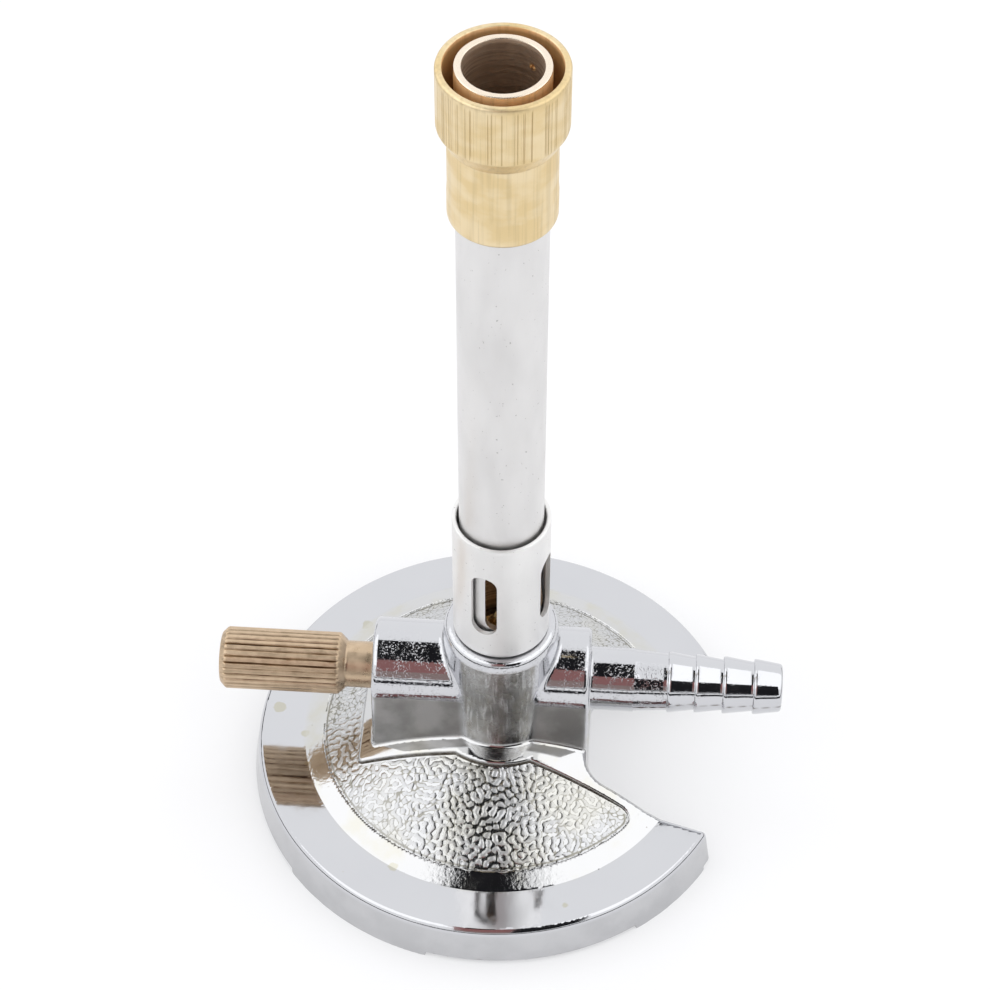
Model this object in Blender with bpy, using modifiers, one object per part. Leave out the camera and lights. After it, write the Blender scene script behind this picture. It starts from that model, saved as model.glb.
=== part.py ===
"""Bunsen burner: cast base with a needle valve and hose inlet, barrel, air sleeve and stabiliser collar.

Metres, +Z up. The origin is on the bench, under the axis of the barrel. The valve axis runs along X,
with the knob at -X and the hose inlet at +X. The front of the burner faces -Y.
"""

import math

import bmesh
import bpy
from mathutils import Matrix, Vector

# Overall
BARREL_TOP = 0.150
VALVE_HEIGHT = 0.0235
ROUND_STEPS = 96
SMALL_ROUND_STEPS = 48
ARC_STEPS = 5

# Base disc. Its centre lies a little to the knob side of the barrel.
DISC_CENTRE_X = -0.0006
RIM_FOOT_RADIUS = 0.0406
RIM_TOP_RADIUS = 0.0396
RIM_TOP_HEIGHT = 0.00675
BAND_HEIGHT = 0.00745
BAND_OUTER_RADIUS = 0.0389
BAND_INNER_RADIUS = 0.0319
LIP_RADIUS = 0.0292
LIP_HEIGHT = 0.0086
DOME_SPHERE_RADIUS = 0.0545
DOME_RINGS = 8
RIM_WALL = 0.0025
SHELL_THICKNESS = 0.0025
FOOT_HEIGHT = 0.0008
FOOT_START_ANGLES = (-51.7, 37.4, 119.8, -167.5)
FOOT_END_ANGLES = (-12.5, 60.2, 142.6, -128.3)

# Hose notch on the inlet side of the base
NOTCH_X = 0.0148
NOTCH_HALF_WIDTH = 0.0120
NOTCH_SLOPE = 0.287
NOTCH_CORNER = 0.0025

# Sunken grained panel on the dome, and the smooth land left around the valve block
PANEL_DEPTH = 0.0009
PANEL_RADIUS = 0.0287
PANEL_CORNER = 0.0025
LAND_HALF_WIDTH = 0.0107
LAND_LEFT_X = -0.0227
LAND_BULGE_RADIUS = 0.0126
LAND_EDGE_X = 0.0054
LAND_EDGE_Y = 0.01138

# Valve block and upright boss
BLOCK_LEFT_X = -0.0205
BLOCK_RIGHT_X = 0.0145
BLOCK_RADIUS = 0.0074
BLOCK_AXIS_HEIGHT = 0.0244
BLOCK_FOOT_HALF_WIDTH = 0.0081
BLOCK_FOOT_HEIGHT = 0.0140
BLOCK_LOW = 0.0080
BLOCK_EDGE = 0.0005
BOSS_TOP = 0.03645
BOSS_SHOULDER_HEIGHT = 0.0352
BOSS_SHOULDER_RADIUS = 0.0092
BOSS_FOOT_RADIUS = 0.0099
BOSS_FOOT_HEIGHT = 0.0155
BOSS_LOW = 0.0085
BOSS_TOP_RADIUS = 0.0084

# Hose barb, cast with the base
BARB_AXIS_HEIGHT = 0.0233
BARB_ROOT_X = 0.0060
BARB_HUB_END_X = 0.0217
BARB_HUB_RADIUS = 0.00512
BARB_STEPS_X = (0.0270, 0.0314, 0.0359, 0.0408)
BARB_LARGE_RADII = (0.0049, 0.0047, 0.00462, 0.00445)
BARB_SMALL_RADII = (0.00432, 0.00412, 0.0040, 0.00388)
BARB_TIP_X = 0.0454

# Gas passages
SPINDLE_BORE_RADIUS = 0.00383
SPINDLE_BORE_END_X = -0.0110
CHAMBER_RADIUS = 0.00295
CHAMBER_END_X = 0.0016
SEAT_RADIUS = 0.0011
SEAT_END_X = 0.0036
INLET_BORE_RADIUS = 0.0025
RISER_RADIUS = 0.0013
JET_BORE_RADIUS = 0.00255
JET_BORE_FLOOR = 0.0270
SOCKET_RADIUS = 0.00655
SOCKET_FLOOR = 0.0300

# Barrel
BARREL_RADIUS = 0.0065
BARREL_BORE_RADIUS = 0.00547
BARREL_LOW = 0.0303
SLOT_WIDTH = 0.0042
SLOT_LOW = 0.0420
SLOT_HIGH = 0.0554
PORT_RADIUS = 0.00055
PORT_HEIGHT = 0.1465
PORT_ANGLES = (139.0, 19.0, -101.0)

# Air sleeve and its friction ring
SLEEVE_RADIUS = 0.00761
SLEEVE_BORE_RADIUS = 0.0069
SLEEVE_LOW = 0.03675
SLEEVE_HIGH = 0.0620
SLEEVE_EDGE = 0.00015
SLEEVE_TURN = -17.3
RING_RADIUS = 0.00685
RING_BORE_RADIUS = 0.00655
RING_LOW = 0.0380
RING_HIGH = 0.0406
RING_GAP_WIDTH = 0.0030

# Stabiliser collar
COLLAR_RADIUS = 0.00897
COLLAR_POCKET_RADIUS = 0.0080
COLLAR_POCKET_FLOOR = 0.1415
COLLAR_BORE_RADIUS = 0.00653
COLLAR_SHOULDER_HIGH = 0.1408
COLLAR_SHOULDER_LOW = 0.1383
COLLAR_NECK_RADIUS = 0.00763
COLLAR_LOW = 0.1248
COLLAR_GROOVES = 64
COLLAR_GROOVE_WIDTH = 0.00018
COLLAR_GROOVE_DEPTH = 0.00010

# Gas jet and its washer
JET_THREAD_RADIUS = 0.0025
JET_LOW = 0.0273
JET_FLANGE_LOW = 0.0308
JET_FLANGE_HIGH = 0.0332
JET_FLANGE_ACROSS_FLATS = 0.0080
JET_NOSE_RADIUS = 0.0026
JET_TIP_RADIUS = 0.0014
JET_TIP = 0.0380
JET_BORE = 0.0012
JET_ORIFICE = 0.00035
WASHER_RADIUS = 0.0044
WASHER_BORE_RADIUS = 0.0026
WASHER_LOW = 0.03015
WASHER_HIGH = 0.0306

# Valve spindle, turned from one bar with its knob
KNOB_RADIUS = 0.00502
KNOB_OUTER_X = -0.0455
KNOB_INNER_X = -0.0261
KNOB_CHAMFER = 0.0009
KNOB_GROOVES = 30
KNOB_GROOVE_WIDTH = 0.00062
KNOB_GROOVE_DEPTH = 0.00036
NECK_RADIUS = 0.00378
NECK_END_X = -0.0180
THREAD_RADIUS = 0.0036
THREAD_END_X = -0.0116
STEM_RADIUS = 0.00288
STEM_END_X = -0.0016
O_RING_GROOVE_RADIUS = 0.00175
O_RING_GROOVE_X = -0.00525
O_RING_GROOVE_WIDTH = 0.0015
O_RING_MAJOR_RADIUS = 0.00233
O_RING_MINOR_RADIUS = 0.00054
NEEDLE_ROOT_RADIUS = 0.0016
NEEDLE_TIP_RADIUS = 0.0004
NEEDLE_TIP_X = 0.0032

PARTS = "bunsen_burner"
CUTTERS = "bunsen_burner_cutters"


def clear_scene():
    """Remove every object and the old collections of this part."""
    for item in list(bpy.data.objects):
        bpy.data.objects.remove(item, do_unlink=True)
    for name in (PARTS, CUTTERS):
        old = bpy.data.collections.get(name)
        if old:
            bpy.data.collections.remove(old)


def new_collection(name):
    group = bpy.data.collections.new(name)
    bpy.context.scene.collection.children.link(group)
    return group


def place_in(name, mesh, group):
    """Make an object of this mesh in one of the two collections."""
    item = bpy.data.objects.new(name, mesh)
    group.objects.link(item)
    if group.name == CUTTERS:
        item.hide_render = True
        item.display_type = "WIRE"
    return item


def new_material(name, colour, roughness, metallic):
    material = bpy.data.materials.new(name)
    material.use_nodes = True
    shader = material.node_tree.nodes["Principled BSDF"]
    shader.inputs["Base Color"].default_value = (*colour, 1.0)
    shader.inputs["Roughness"].default_value = roughness
    shader.inputs["Metallic"].default_value = metallic
    material.diffuse_color = (*colour, 1.0)
    return material


def finish_mesh(name, builder, group):
    """Weld, turn the faces outwards and store the mesh as an object."""
    bmesh.ops.remove_doubles(builder, verts=builder.verts, dist=1e-7)
    bmesh.ops.recalc_face_normals(builder, faces=builder.faces)
    mesh = bpy.data.meshes.new(name)
    builder.to_mesh(mesh)
    builder.free()
    return place_in(name, mesh, group)


def turned(name, profile, group, steps=ROUND_STEPS, ring=False):
    """Spin a profile of (radius, height) points about Z. A ring's profile closes on itself."""
    builder = bmesh.new()
    points = [builder.verts.new((radius, 0.0, height)) for radius, height in profile]
    edges = [builder.edges.new(pair) for pair in zip(points, points[1:])]
    if ring:
        edges.append(builder.edges.new((points[-1], points[0])))
    bmesh.ops.spin(
        builder,
        geom=points + edges,
        cent=(0, 0, 0),
        axis=(0, 0, 1),
        angle=math.tau,
        steps=steps,
        use_merge=True,
    )
    return finish_mesh(name, builder, group)


def prism(name, outline, low, high, group):
    """Extrude a flat outline of (x, y) points from one height to another."""
    builder = bmesh.new()
    face = builder.faces.new([builder.verts.new((x, y, low)) for x, y in outline])
    grown = bmesh.ops.extrude_face_region(builder, geom=[face])
    raised = [item for item in grown["geom"] if isinstance(item, bmesh.types.BMVert)]
    bmesh.ops.translate(builder, verts=raised, vec=(0, 0, high - low))
    return finish_mesh(name, builder, group)


def along_x(item, height):
    """Lay an object made about Z along the X axis, with its Z pointing to +X."""
    item.rotation_euler = (0, math.pi / 2, 0)
    item.location = (0, 0, height)
    return item


def rounded(corners):
    """Outline through corners (x, y, radius), each corner turned into an arc of its radius."""
    outline = []
    for index, (x, y, radius) in enumerate(corners):
        here = Vector((x, y))
        if radius == 0:
            outline.append((x, y))
            continue
        to_last = (Vector(corners[index - 1][:2]) - here).normalized()
        to_next = (Vector(corners[(index + 1) % len(corners)][:2]) - here).normalized()
        half = to_last.angle(to_next) / 2
        centre = here + (to_last + to_next).normalized() * (radius / math.sin(half))
        start = here + to_last * (radius / math.tan(half)) - centre
        end = here + to_next * (radius / math.tan(half)) - centre
        first = math.atan2(start.y, start.x)
        turn = (math.atan2(end.y, end.x) - first + math.pi) % math.tau - math.pi
        for step in range(ARC_STEPS + 1):
            angle = first + turn * step / ARC_STEPS
            outline.append((centre.x + radius * math.cos(angle), centre.y + radius * math.sin(angle)))
    return outline


def arc(centre_x, radius, first, last, steps):
    """Points on an arc about (centre_x, 0), by angles in degrees from +X."""
    points = []
    for step in range(steps + 1):
        angle = math.radians(first + (last - first) * step / steps)
        points.append((centre_x + radius * math.cos(angle), radius * math.sin(angle)))
    return points


def modify(item, operation, tool):
    """Add a Boolean with another object."""
    step = item.modifiers.new(operation.title() + " " + tool.name, "BOOLEAN")
    step.operation = operation
    step.solver = "EXACT"
    step.object = tool
    return item


def bevel(item, width, angle):
    step = item.modifiers.new("Edges", "BEVEL")
    step.width = width
    step.segments = 2
    step.limit_method = "ANGLE"
    step.angle_limit = math.radians(angle)
    return item


def dome_height(radius):
    """Height of the domed top at this distance from the centre of the disc."""
    sphere_centre = LIP_HEIGHT - math.sqrt(DOME_SPHERE_RADIUS**2 - LIP_RADIUS**2)
    return sphere_centre + math.sqrt(DOME_SPHERE_RADIUS**2 - radius**2)


def dome_profile(lowered):
    """Profile of the dome from the lip to the centre, moved down by some amount."""
    radii = [LIP_RADIUS * (DOME_RINGS - ring) / DOME_RINGS for ring in range(DOME_RINGS + 1)]
    return [(radius, dome_height(radius) - lowered) for radius in radii]


def notch_outline(inset):
    """Plan of the hose notch, grown by some amount on its three sides."""
    near = NOTCH_X - inset
    width = NOTCH_HALF_WIDTH + inset * (math.sqrt(1 + NOTCH_SLOPE**2) - NOTCH_SLOPE)
    far = 0.060
    far_width = width + NOTCH_SLOPE * (far - near)
    corner = NOTCH_CORNER + inset
    return rounded([(near, -width, corner), (far, -far_width, 0), (far, far_width, 0), (near, width, corner)])


def panel_outline():
    """Plan of the sunken panel: round the disc, along both lands and around the boss."""
    angle = 0.0
    while panel_edge_gap(angle) < 0:
        angle += 0.05
    corner_x = DISC_CENTRE_X + PANEL_RADIUS * math.cos(math.radians(angle))
    corner_y = PANEL_RADIUS * math.sin(math.radians(angle))
    bulge_x = math.sqrt(LAND_BULGE_RADIUS**2 - LAND_HALF_WIDTH**2)
    back_turn = math.degrees(math.atan2(LAND_EDGE_Y, LAND_EDGE_X))
    end_turn = math.degrees(math.atan2(LAND_HALF_WIDTH, -bulge_x))
    corners = [(corner_x, corner_y, PANEL_CORNER)]
    corners += [(x, y, 0) for x, y in arc(DISC_CENTRE_X, PANEL_RADIUS, angle + 8, 352 - angle, 72)]
    corners += [(corner_x, -corner_y, PANEL_CORNER)]
    corners += [(x, y, 0) for x, y in arc(0, LAND_BULGE_RADIUS, -back_turn, -end_turn, 10)]
    corners += [(LAND_LEFT_X, -LAND_HALF_WIDTH, 0.0008), (LAND_LEFT_X, LAND_HALF_WIDTH, 0.0008)]
    corners += [(x, y, 0) for x, y in arc(0, LAND_BULGE_RADIUS, end_turn, back_turn, 10)]
    return rounded(corners)


def panel_edge_gap(angle):
    """How far a point on the panel's outer arc lies outside the land beside the notch."""
    x = DISC_CENTRE_X + PANEL_RADIUS * math.cos(math.radians(angle))
    y = PANEL_RADIUS * math.sin(math.radians(angle))
    return y - (LAND_EDGE_Y + NOTCH_SLOPE * (x - LAND_EDGE_X))


def valve_block(group):
    """Horizontal block with a round top and slightly splayed sides."""
    side = (BLOCK_FOOT_HALF_WIDTH - BLOCK_RADIUS) / (BLOCK_AXIS_HEIGHT - BLOCK_FOOT_HEIGHT)
    low_half = BLOCK_RADIUS + side * (BLOCK_AXIS_HEIGHT - BLOCK_LOW)
    outline = [(-BLOCK_LOW, -low_half)]
    for step in range(25):
        angle = math.pi * (step / 24 - 0.5)
        height = BLOCK_AXIS_HEIGHT + BLOCK_RADIUS * math.cos(angle)
        outline.append((-height, BLOCK_RADIUS * math.sin(angle)))
    outline.append((-BLOCK_LOW, low_half))
    block = prism("valve_block", outline, BLOCK_LEFT_X, BLOCK_RIGHT_X, group)
    along_x(block, 0)
    return bevel(block, BLOCK_EDGE, 60)


def boss(group):
    """Upright boss that carries the barrel."""
    crown = (BOSS_TOP_RADIUS + BOSS_SHOULDER_RADIUS) / 2 + 0.0002
    profile = [
        (0, BOSS_TOP),
        (BOSS_TOP_RADIUS, BOSS_TOP),
        (crown, BOSS_TOP - 0.00035),
        (BOSS_SHOULDER_RADIUS, BOSS_SHOULDER_HEIGHT),
        (BOSS_FOOT_RADIUS, BOSS_FOOT_HEIGHT),
        (BOSS_FOOT_RADIUS, BOSS_LOW),
        (0, BOSS_LOW),
    ]
    return turned("boss", profile, group)


def hose_barb(group):
    """Inlet with four barbs, drawn about Z and laid along X."""
    profile = [(0, BARB_ROOT_X), (BARB_HUB_RADIUS, BARB_ROOT_X), (BARB_HUB_RADIUS, BARB_HUB_END_X)]
    profile.append((BARB_HUB_RADIUS - 0.0004, BARB_HUB_END_X + 0.0005))
    last = BARB_LARGE_RADII[0] - 0.0003
    for index, start in enumerate(BARB_STEPS_X):
        profile.append((last, start))
        profile.append((BARB_LARGE_RADII[index], start + 0.0001))
        profile.append((BARB_LARGE_RADII[index], start + 0.0007))
        last = BARB_SMALL_RADII[index]
    profile += [(last, BARB_TIP_X - 0.0003), (last - 0.0003, BARB_TIP_X), (0, BARB_TIP_X)]
    return along_x(turned("hose_barb", profile, group, SMALL_ROUND_STEPS), BARB_AXIS_HEIGHT)


def gas_passage(group):
    """Cutter for the spindle bore, the chamber, the valve seat and the inlet bore."""
    profile = [
        (0, BLOCK_LEFT_X - 0.002),
        (SPINDLE_BORE_RADIUS, BLOCK_LEFT_X - 0.002),
        (SPINDLE_BORE_RADIUS, SPINDLE_BORE_END_X),
        (CHAMBER_RADIUS, SPINDLE_BORE_END_X),
        (CHAMBER_RADIUS, CHAMBER_END_X),
        (SEAT_RADIUS, CHAMBER_END_X),
        (SEAT_RADIUS, SEAT_END_X),
        (INLET_BORE_RADIUS, SEAT_END_X),
        (INLET_BORE_RADIUS, BARB_TIP_X + 0.002),
        (0, BARB_TIP_X + 0.002),
    ]
    return along_x(turned("gas_passage", profile, group, SMALL_ROUND_STEPS), VALVE_HEIGHT)


def barrel_socket(group):
    """Cutter for the riser, the thread of the jet and the socket of the barrel."""
    profile = [
        (0, VALVE_HEIGHT),
        (RISER_RADIUS, VALVE_HEIGHT),
        (RISER_RADIUS, JET_BORE_FLOOR),
        (JET_BORE_RADIUS, JET_BORE_FLOOR),
        (JET_BORE_RADIUS, SOCKET_FLOOR),
        (SOCKET_RADIUS, SOCKET_FLOOR),
        (SOCKET_RADIUS, BOSS_TOP + 0.002),
        (0, BOSS_TOP + 0.002),
    ]
    return turned("barrel_socket", profile, group, SMALL_ROUND_STEPS)


def underside(group):
    """Cutter for the hollow under the base, kept clear of the walls around the notch."""
    roof = BAND_HEIGHT - SHELL_THICKNESS
    profile = [
        (0, -0.001),
        (RIM_FOOT_RADIUS - RIM_WALL, -0.001),
        (RIM_TOP_RADIUS - RIM_WALL, roof - 0.0006),
        (RIM_TOP_RADIUS - RIM_WALL - 0.0006, roof),
        (BAND_INNER_RADIUS - 0.0004, roof),
    ]
    profile += dome_profile(SHELL_THICKNESS)
    hollow = turned("underside", profile, group)
    hollow.location.x = DISC_CENTRE_X
    wall = prism("notch_wall", notch_outline(RIM_WALL), -0.010, 0.040, group)
    return modify(hollow, "DIFFERENCE", wall)


def sunken_panel(group):
    """Cutter that lowers the grained panel: its plan above a lowered copy of the dome."""
    cutter = prism("sunken_panel", panel_outline(), 0.002, 0.040, group)
    profile = dome_profile(PANEL_DEPTH) + [(0, -0.005), (LIP_RADIUS, -0.005)]
    floor = turned("panel_floor", profile, group, ring=True)
    floor.location.x = DISC_CENTRE_X
    return modify(cutter, "DIFFERENCE", floor)


def foot_gap(index, group):
    """Cutter for the shallow gap between one foot pad and the next."""
    order = sorted(range(len(FOOT_START_ANGLES)), key=lambda foot: FOOT_START_ANGLES[foot])
    here = order[index]
    after = order[(index + 1) % len(order)]
    first = FOOT_END_ANGLES[here]
    last = FOOT_START_ANGLES[after]
    if last < first:
        last += 360
    outer = arc(DISC_CENTRE_X, 0.045, first - 90, last - 90, 8)
    inner = arc(DISC_CENTRE_X, 0.030, last - 90, first - 90, 8)
    return prism("foot_gap_" + str(index + 1), outer + inner, -0.002, FOOT_HEIGHT, group)


def base_casting(parts, cutters):
    profile = [
        (0, 0),
        (RIM_FOOT_RADIUS, 0),
        (RIM_TOP_RADIUS, RIM_TOP_HEIGHT),
        (RIM_TOP_RADIUS - 0.0002, RIM_TOP_HEIGHT + 0.0004),
        (BAND_OUTER_RADIUS, BAND_HEIGHT),
        (BAND_INNER_RADIUS, BAND_HEIGHT),
    ]
    base = turned("base_casting", profile + dome_profile(0), parts)
    base.location.x = DISC_CENTRE_X
    modify(base, "DIFFERENCE", prism("hose_notch", notch_outline(0), -0.010, 0.040, cutters))
    modify(base, "DIFFERENCE", sunken_panel(cutters))
    modify(base, "UNION", valve_block(cutters))
    modify(base, "UNION", boss(cutters))
    modify(base, "UNION", hose_barb(cutters))
    modify(base, "DIFFERENCE", underside(cutters))
    for index in range(len(FOOT_START_ANGLES)):
        modify(base, "DIFFERENCE", foot_gap(index, cutters))
    modify(base, "DIFFERENCE", gas_passage(cutters))
    modify(base, "DIFFERENCE", barrel_socket(cutters))
    return base


def slot_pair(name, turn, group):
    """Cutter through two opposite walls: a slot with round ends, standing upright."""
    half = SLOT_WIDTH / 2
    outline = [(-SLOT_HIGH + half + half * math.cos(a), half * math.sin(a)) for a in half_turn(90)]
    outline += [(-SLOT_LOW - half + half * math.cos(a), half * math.sin(a)) for a in half_turn(-90)]
    cutter = prism(name, outline, -0.012, 0.012, group)
    cutter.matrix_world = Matrix.Rotation(math.radians(turn), 4, "Z") @ Matrix.Rotation(math.pi / 2, 4, "Y")
    return cutter


def half_turn(first):
    """Angles of half a circle, in radians."""
    return [math.radians(first + 180 * step / 10) for step in range(11)]


def burner_tube(parts, cutters):
    bore_edge = BARREL_BORE_RADIUS + 0.0001
    profile = [
        (BARREL_BORE_RADIUS, BARREL_LOW),
        (BARREL_RADIUS - 0.0003, BARREL_LOW),
        (BARREL_RADIUS, BARREL_LOW + 0.0003),
        (BARREL_RADIUS, BARREL_TOP - 0.0001),
        (BARREL_RADIUS - 0.0001, BARREL_TOP),
        (bore_edge, BARREL_TOP),
        (BARREL_BORE_RADIUS, BARREL_TOP - 0.0001),
    ]
    tube = turned("burner_tube", profile, parts, SMALL_ROUND_STEPS * 2, ring=True)
    modify(tube, "DIFFERENCE", slot_pair("tube_slots_front_back", 90, cutters))
    modify(tube, "DIFFERENCE", slot_pair("tube_slots_left_right", 0, cutters))
    for index, angle in enumerate(PORT_ANGLES):
        turn = math.radians(angle - 90)
        middle = (BARREL_RADIUS + BARREL_BORE_RADIUS) / 2
        port = turned("pilot_port_" + str(index + 1), port_profile(), cutters, 16)
        port.rotation_euler = (0, math.pi / 2, turn)
        port.location = (middle * math.cos(turn), middle * math.sin(turn), PORT_HEIGHT)
        modify(tube, "DIFFERENCE", port)
    return tube


def port_profile():
    return [(0, -0.0012), (PORT_RADIUS, -0.0012), (PORT_RADIUS, 0.0012), (0, 0.0012)]


def air_sleeve(parts, cutters):
    profile = [
        (SLEEVE_BORE_RADIUS, SLEEVE_LOW),
        (SLEEVE_RADIUS - SLEEVE_EDGE, SLEEVE_LOW),
        (SLEEVE_RADIUS, SLEEVE_LOW + SLEEVE_EDGE),
        (SLEEVE_RADIUS, SLEEVE_HIGH - SLEEVE_EDGE),
        (SLEEVE_RADIUS - SLEEVE_EDGE, SLEEVE_HIGH),
        (SLEEVE_BORE_RADIUS + SLEEVE_EDGE, SLEEVE_HIGH),
        (SLEEVE_BORE_RADIUS, SLEEVE_HIGH - SLEEVE_EDGE),
    ]
    sleeve = turned("air_sleeve", profile, parts, ring=True)
    modify(sleeve, "DIFFERENCE", slot_pair("sleeve_slots_front_back", 90 + SLEEVE_TURN, cutters))
    modify(sleeve, "DIFFERENCE", slot_pair("sleeve_slots_left_right", SLEEVE_TURN, cutters))
    return sleeve


def friction_ring(parts, cutters):
    """Thin split ring that holds the air sleeve where it is turned to."""
    profile = [
        (RING_BORE_RADIUS, RING_LOW),
        (RING_RADIUS, RING_LOW),
        (RING_RADIUS, RING_HIGH),
        (RING_BORE_RADIUS, RING_HIGH),
    ]
    ring = turned("sleeve_friction_ring", profile, parts, SMALL_ROUND_STEPS, ring=True)
    half = RING_GAP_WIDTH / 2
    outline = [(-half, 0.0), (half, 0.0), (half, 0.010), (-half, 0.010)]
    gap = prism("ring_gap", outline, RING_LOW - 0.001, RING_HIGH + 0.001, cutters)
    return modify(ring, "DIFFERENCE", gap)


def groove_set(name, count, radius, width, depth, low, high, group):
    """Cutter made of V grooves spread around a bar, drawn about Z."""
    builder = bmesh.new()
    over = depth * 0.8
    half = width / 2 * (depth + over) / depth
    for index in range(count):
        turn = Matrix.Rotation(math.tau * index / count, 4, "Z")
        section = [(radius - depth, 0.0), (radius + over, -half), (radius + over, half)]
        lower = [builder.verts.new(turn @ Vector((x, y, low))) for x, y in section]
        upper = [builder.verts.new(turn @ Vector((x, y, high))) for x, y in section]
        builder.faces.new(lower)
        builder.faces.new(upper)
        for side in range(3):
            after = (side + 1) % 3
            builder.faces.new((lower[side], lower[after], upper[after], upper[side]))
    return finish_mesh(name, builder, group)


def stabiliser_collar(parts, cutters):
    neck = COLLAR_NECK_RADIUS
    profile = [
        (COLLAR_BORE_RADIUS, COLLAR_LOW),
        (neck - 0.0002, COLLAR_LOW),
        (neck, COLLAR_LOW + 0.0003),
        (neck, COLLAR_LOW + 0.0045),
        (neck - 0.0001, COLLAR_LOW + 0.0050),
        (neck - 0.0001, COLLAR_SHOULDER_LOW),
        (COLLAR_RADIUS - 0.0002, COLLAR_SHOULDER_HIGH - 0.0005),
        (COLLAR_RADIUS, COLLAR_SHOULDER_HIGH),
        (COLLAR_RADIUS, BARREL_TOP - 0.00025),
        (COLLAR_RADIUS - 0.00025, BARREL_TOP),
        (COLLAR_POCKET_RADIUS + 0.0001, BARREL_TOP),
        (COLLAR_POCKET_RADIUS, BARREL_TOP - 0.0001),
        (COLLAR_POCKET_RADIUS, COLLAR_POCKET_FLOOR),
        (COLLAR_BORE_RADIUS, COLLAR_POCKET_FLOOR),
    ]
    collar = turned("stabiliser_collar", profile, parts, ring=True)
    grooves = groove_set(
        "collar_grooves",
        COLLAR_GROOVES,
        COLLAR_RADIUS,
        COLLAR_GROOVE_WIDTH,
        COLLAR_GROOVE_DEPTH,
        COLLAR_SHOULDER_HIGH - 0.0001,
        BARREL_TOP + 0.001,
        cutters,
    )
    return modify(collar, "DIFFERENCE", grooves)


def gas_jet(parts, cutters):
    """Brass jet with a hexagonal flange, a coned nose and a fine orifice."""
    corner = JET_FLANGE_ACROSS_FLATS / math.sqrt(3)
    outline = [(corner * math.cos(math.tau * i / 6), corner * math.sin(math.tau * i / 6)) for i in range(6)]
    jet = prism("gas_jet", outline, JET_FLANGE_LOW, JET_FLANGE_HIGH, parts)
    body_profile = [
        (0, JET_LOW),
        (JET_THREAD_RADIUS - 0.0003, JET_LOW),
        (JET_THREAD_RADIUS, JET_LOW + 0.0003),
        (JET_THREAD_RADIUS, JET_FLANGE_LOW + 0.0010),
        (JET_NOSE_RADIUS, JET_FLANGE_LOW + 0.0010),
        (JET_NOSE_RADIUS, JET_FLANGE_HIGH + 0.0015),
        (JET_TIP_RADIUS, JET_TIP - 0.0005),
        (JET_TIP_RADIUS - 0.0003, JET_TIP),
        (0, JET_TIP),
    ]
    modify(jet, "UNION", turned("jet_body", body_profile, cutters, SMALL_ROUND_STEPS))
    bore_profile = [
        (0, JET_LOW - 0.001),
        (JET_BORE, JET_LOW - 0.001),
        (JET_BORE, JET_TIP - 0.0025),
        (JET_ORIFICE, JET_TIP - 0.0018),
        (JET_ORIFICE, JET_TIP + 0.001),
        (0, JET_TIP + 0.001),
    ]
    return modify(jet, "DIFFERENCE", turned("jet_bore", bore_profile, cutters, 24))


def jet_washer(parts):
    profile = [
        (WASHER_BORE_RADIUS, WASHER_LOW),
        (WASHER_RADIUS, WASHER_LOW),
        (WASHER_RADIUS, WASHER_HIGH),
        (WASHER_BORE_RADIUS, WASHER_HIGH),
    ]
    return turned("jet_washer", profile, parts, SMALL_ROUND_STEPS, ring=True)


def valve_spindle(parts, cutters):
    """Knurled knob, neck, threaded length, stem with a seal groove, and needle, all one piece."""
    groove_low = O_RING_GROOVE_X - O_RING_GROOVE_WIDTH / 2
    groove_high = O_RING_GROOVE_X + O_RING_GROOVE_WIDTH / 2
    profile = [
        (0, KNOB_OUTER_X),
        (KNOB_RADIUS - KNOB_CHAMFER, KNOB_OUTER_X),
        (KNOB_RADIUS, KNOB_OUTER_X + KNOB_CHAMFER),
        (KNOB_RADIUS, KNOB_INNER_X - KNOB_CHAMFER),
        (NECK_RADIUS + 0.0002, KNOB_INNER_X),
        (NECK_RADIUS, KNOB_INNER_X + 0.0002),
        (NECK_RADIUS, NECK_END_X),
        (THREAD_RADIUS, NECK_END_X + 0.0002),
        (THREAD_RADIUS, THREAD_END_X - 0.0003),
        (THREAD_RADIUS - 0.0003, THREAD_END_X),
        (STEM_RADIUS, THREAD_END_X),
        (STEM_RADIUS, groove_low),
        (O_RING_GROOVE_RADIUS, groove_low),
        (O_RING_GROOVE_RADIUS, groove_high),
        (STEM_RADIUS, groove_high),
        (STEM_RADIUS, STEM_END_X - 0.0003),
        (STEM_RADIUS - 0.0003, STEM_END_X),
        (NEEDLE_ROOT_RADIUS, STEM_END_X),
        (NEEDLE_TIP_RADIUS, NEEDLE_TIP_X),
        (0, NEEDLE_TIP_X),
    ]
    spindle = along_x(turned("valve_spindle", profile, parts, 60), VALVE_HEIGHT)
    grooves = groove_set(
        "knob_grooves",
        KNOB_GROOVES,
        KNOB_RADIUS,
        KNOB_GROOVE_WIDTH,
        KNOB_GROOVE_DEPTH,
        KNOB_OUTER_X - 0.001,
        KNOB_INNER_X - KNOB_CHAMFER * 0.6,
        cutters,
    )
    along_x(grooves, VALVE_HEIGHT)
    return modify(spindle, "DIFFERENCE", grooves)


def spindle_o_ring(parts):
    profile = []
    for step in range(16):
        angle = math.tau * step / 16
        radius = O_RING_MAJOR_RADIUS + O_RING_MINOR_RADIUS * math.cos(angle)
        profile.append((radius, O_RING_GROOVE_X + O_RING_MINOR_RADIUS * math.sin(angle)))
    return along_x(turned("spindle_o_ring", profile, parts, SMALL_ROUND_STEPS, ring=True), VALVE_HEIGHT)


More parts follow.
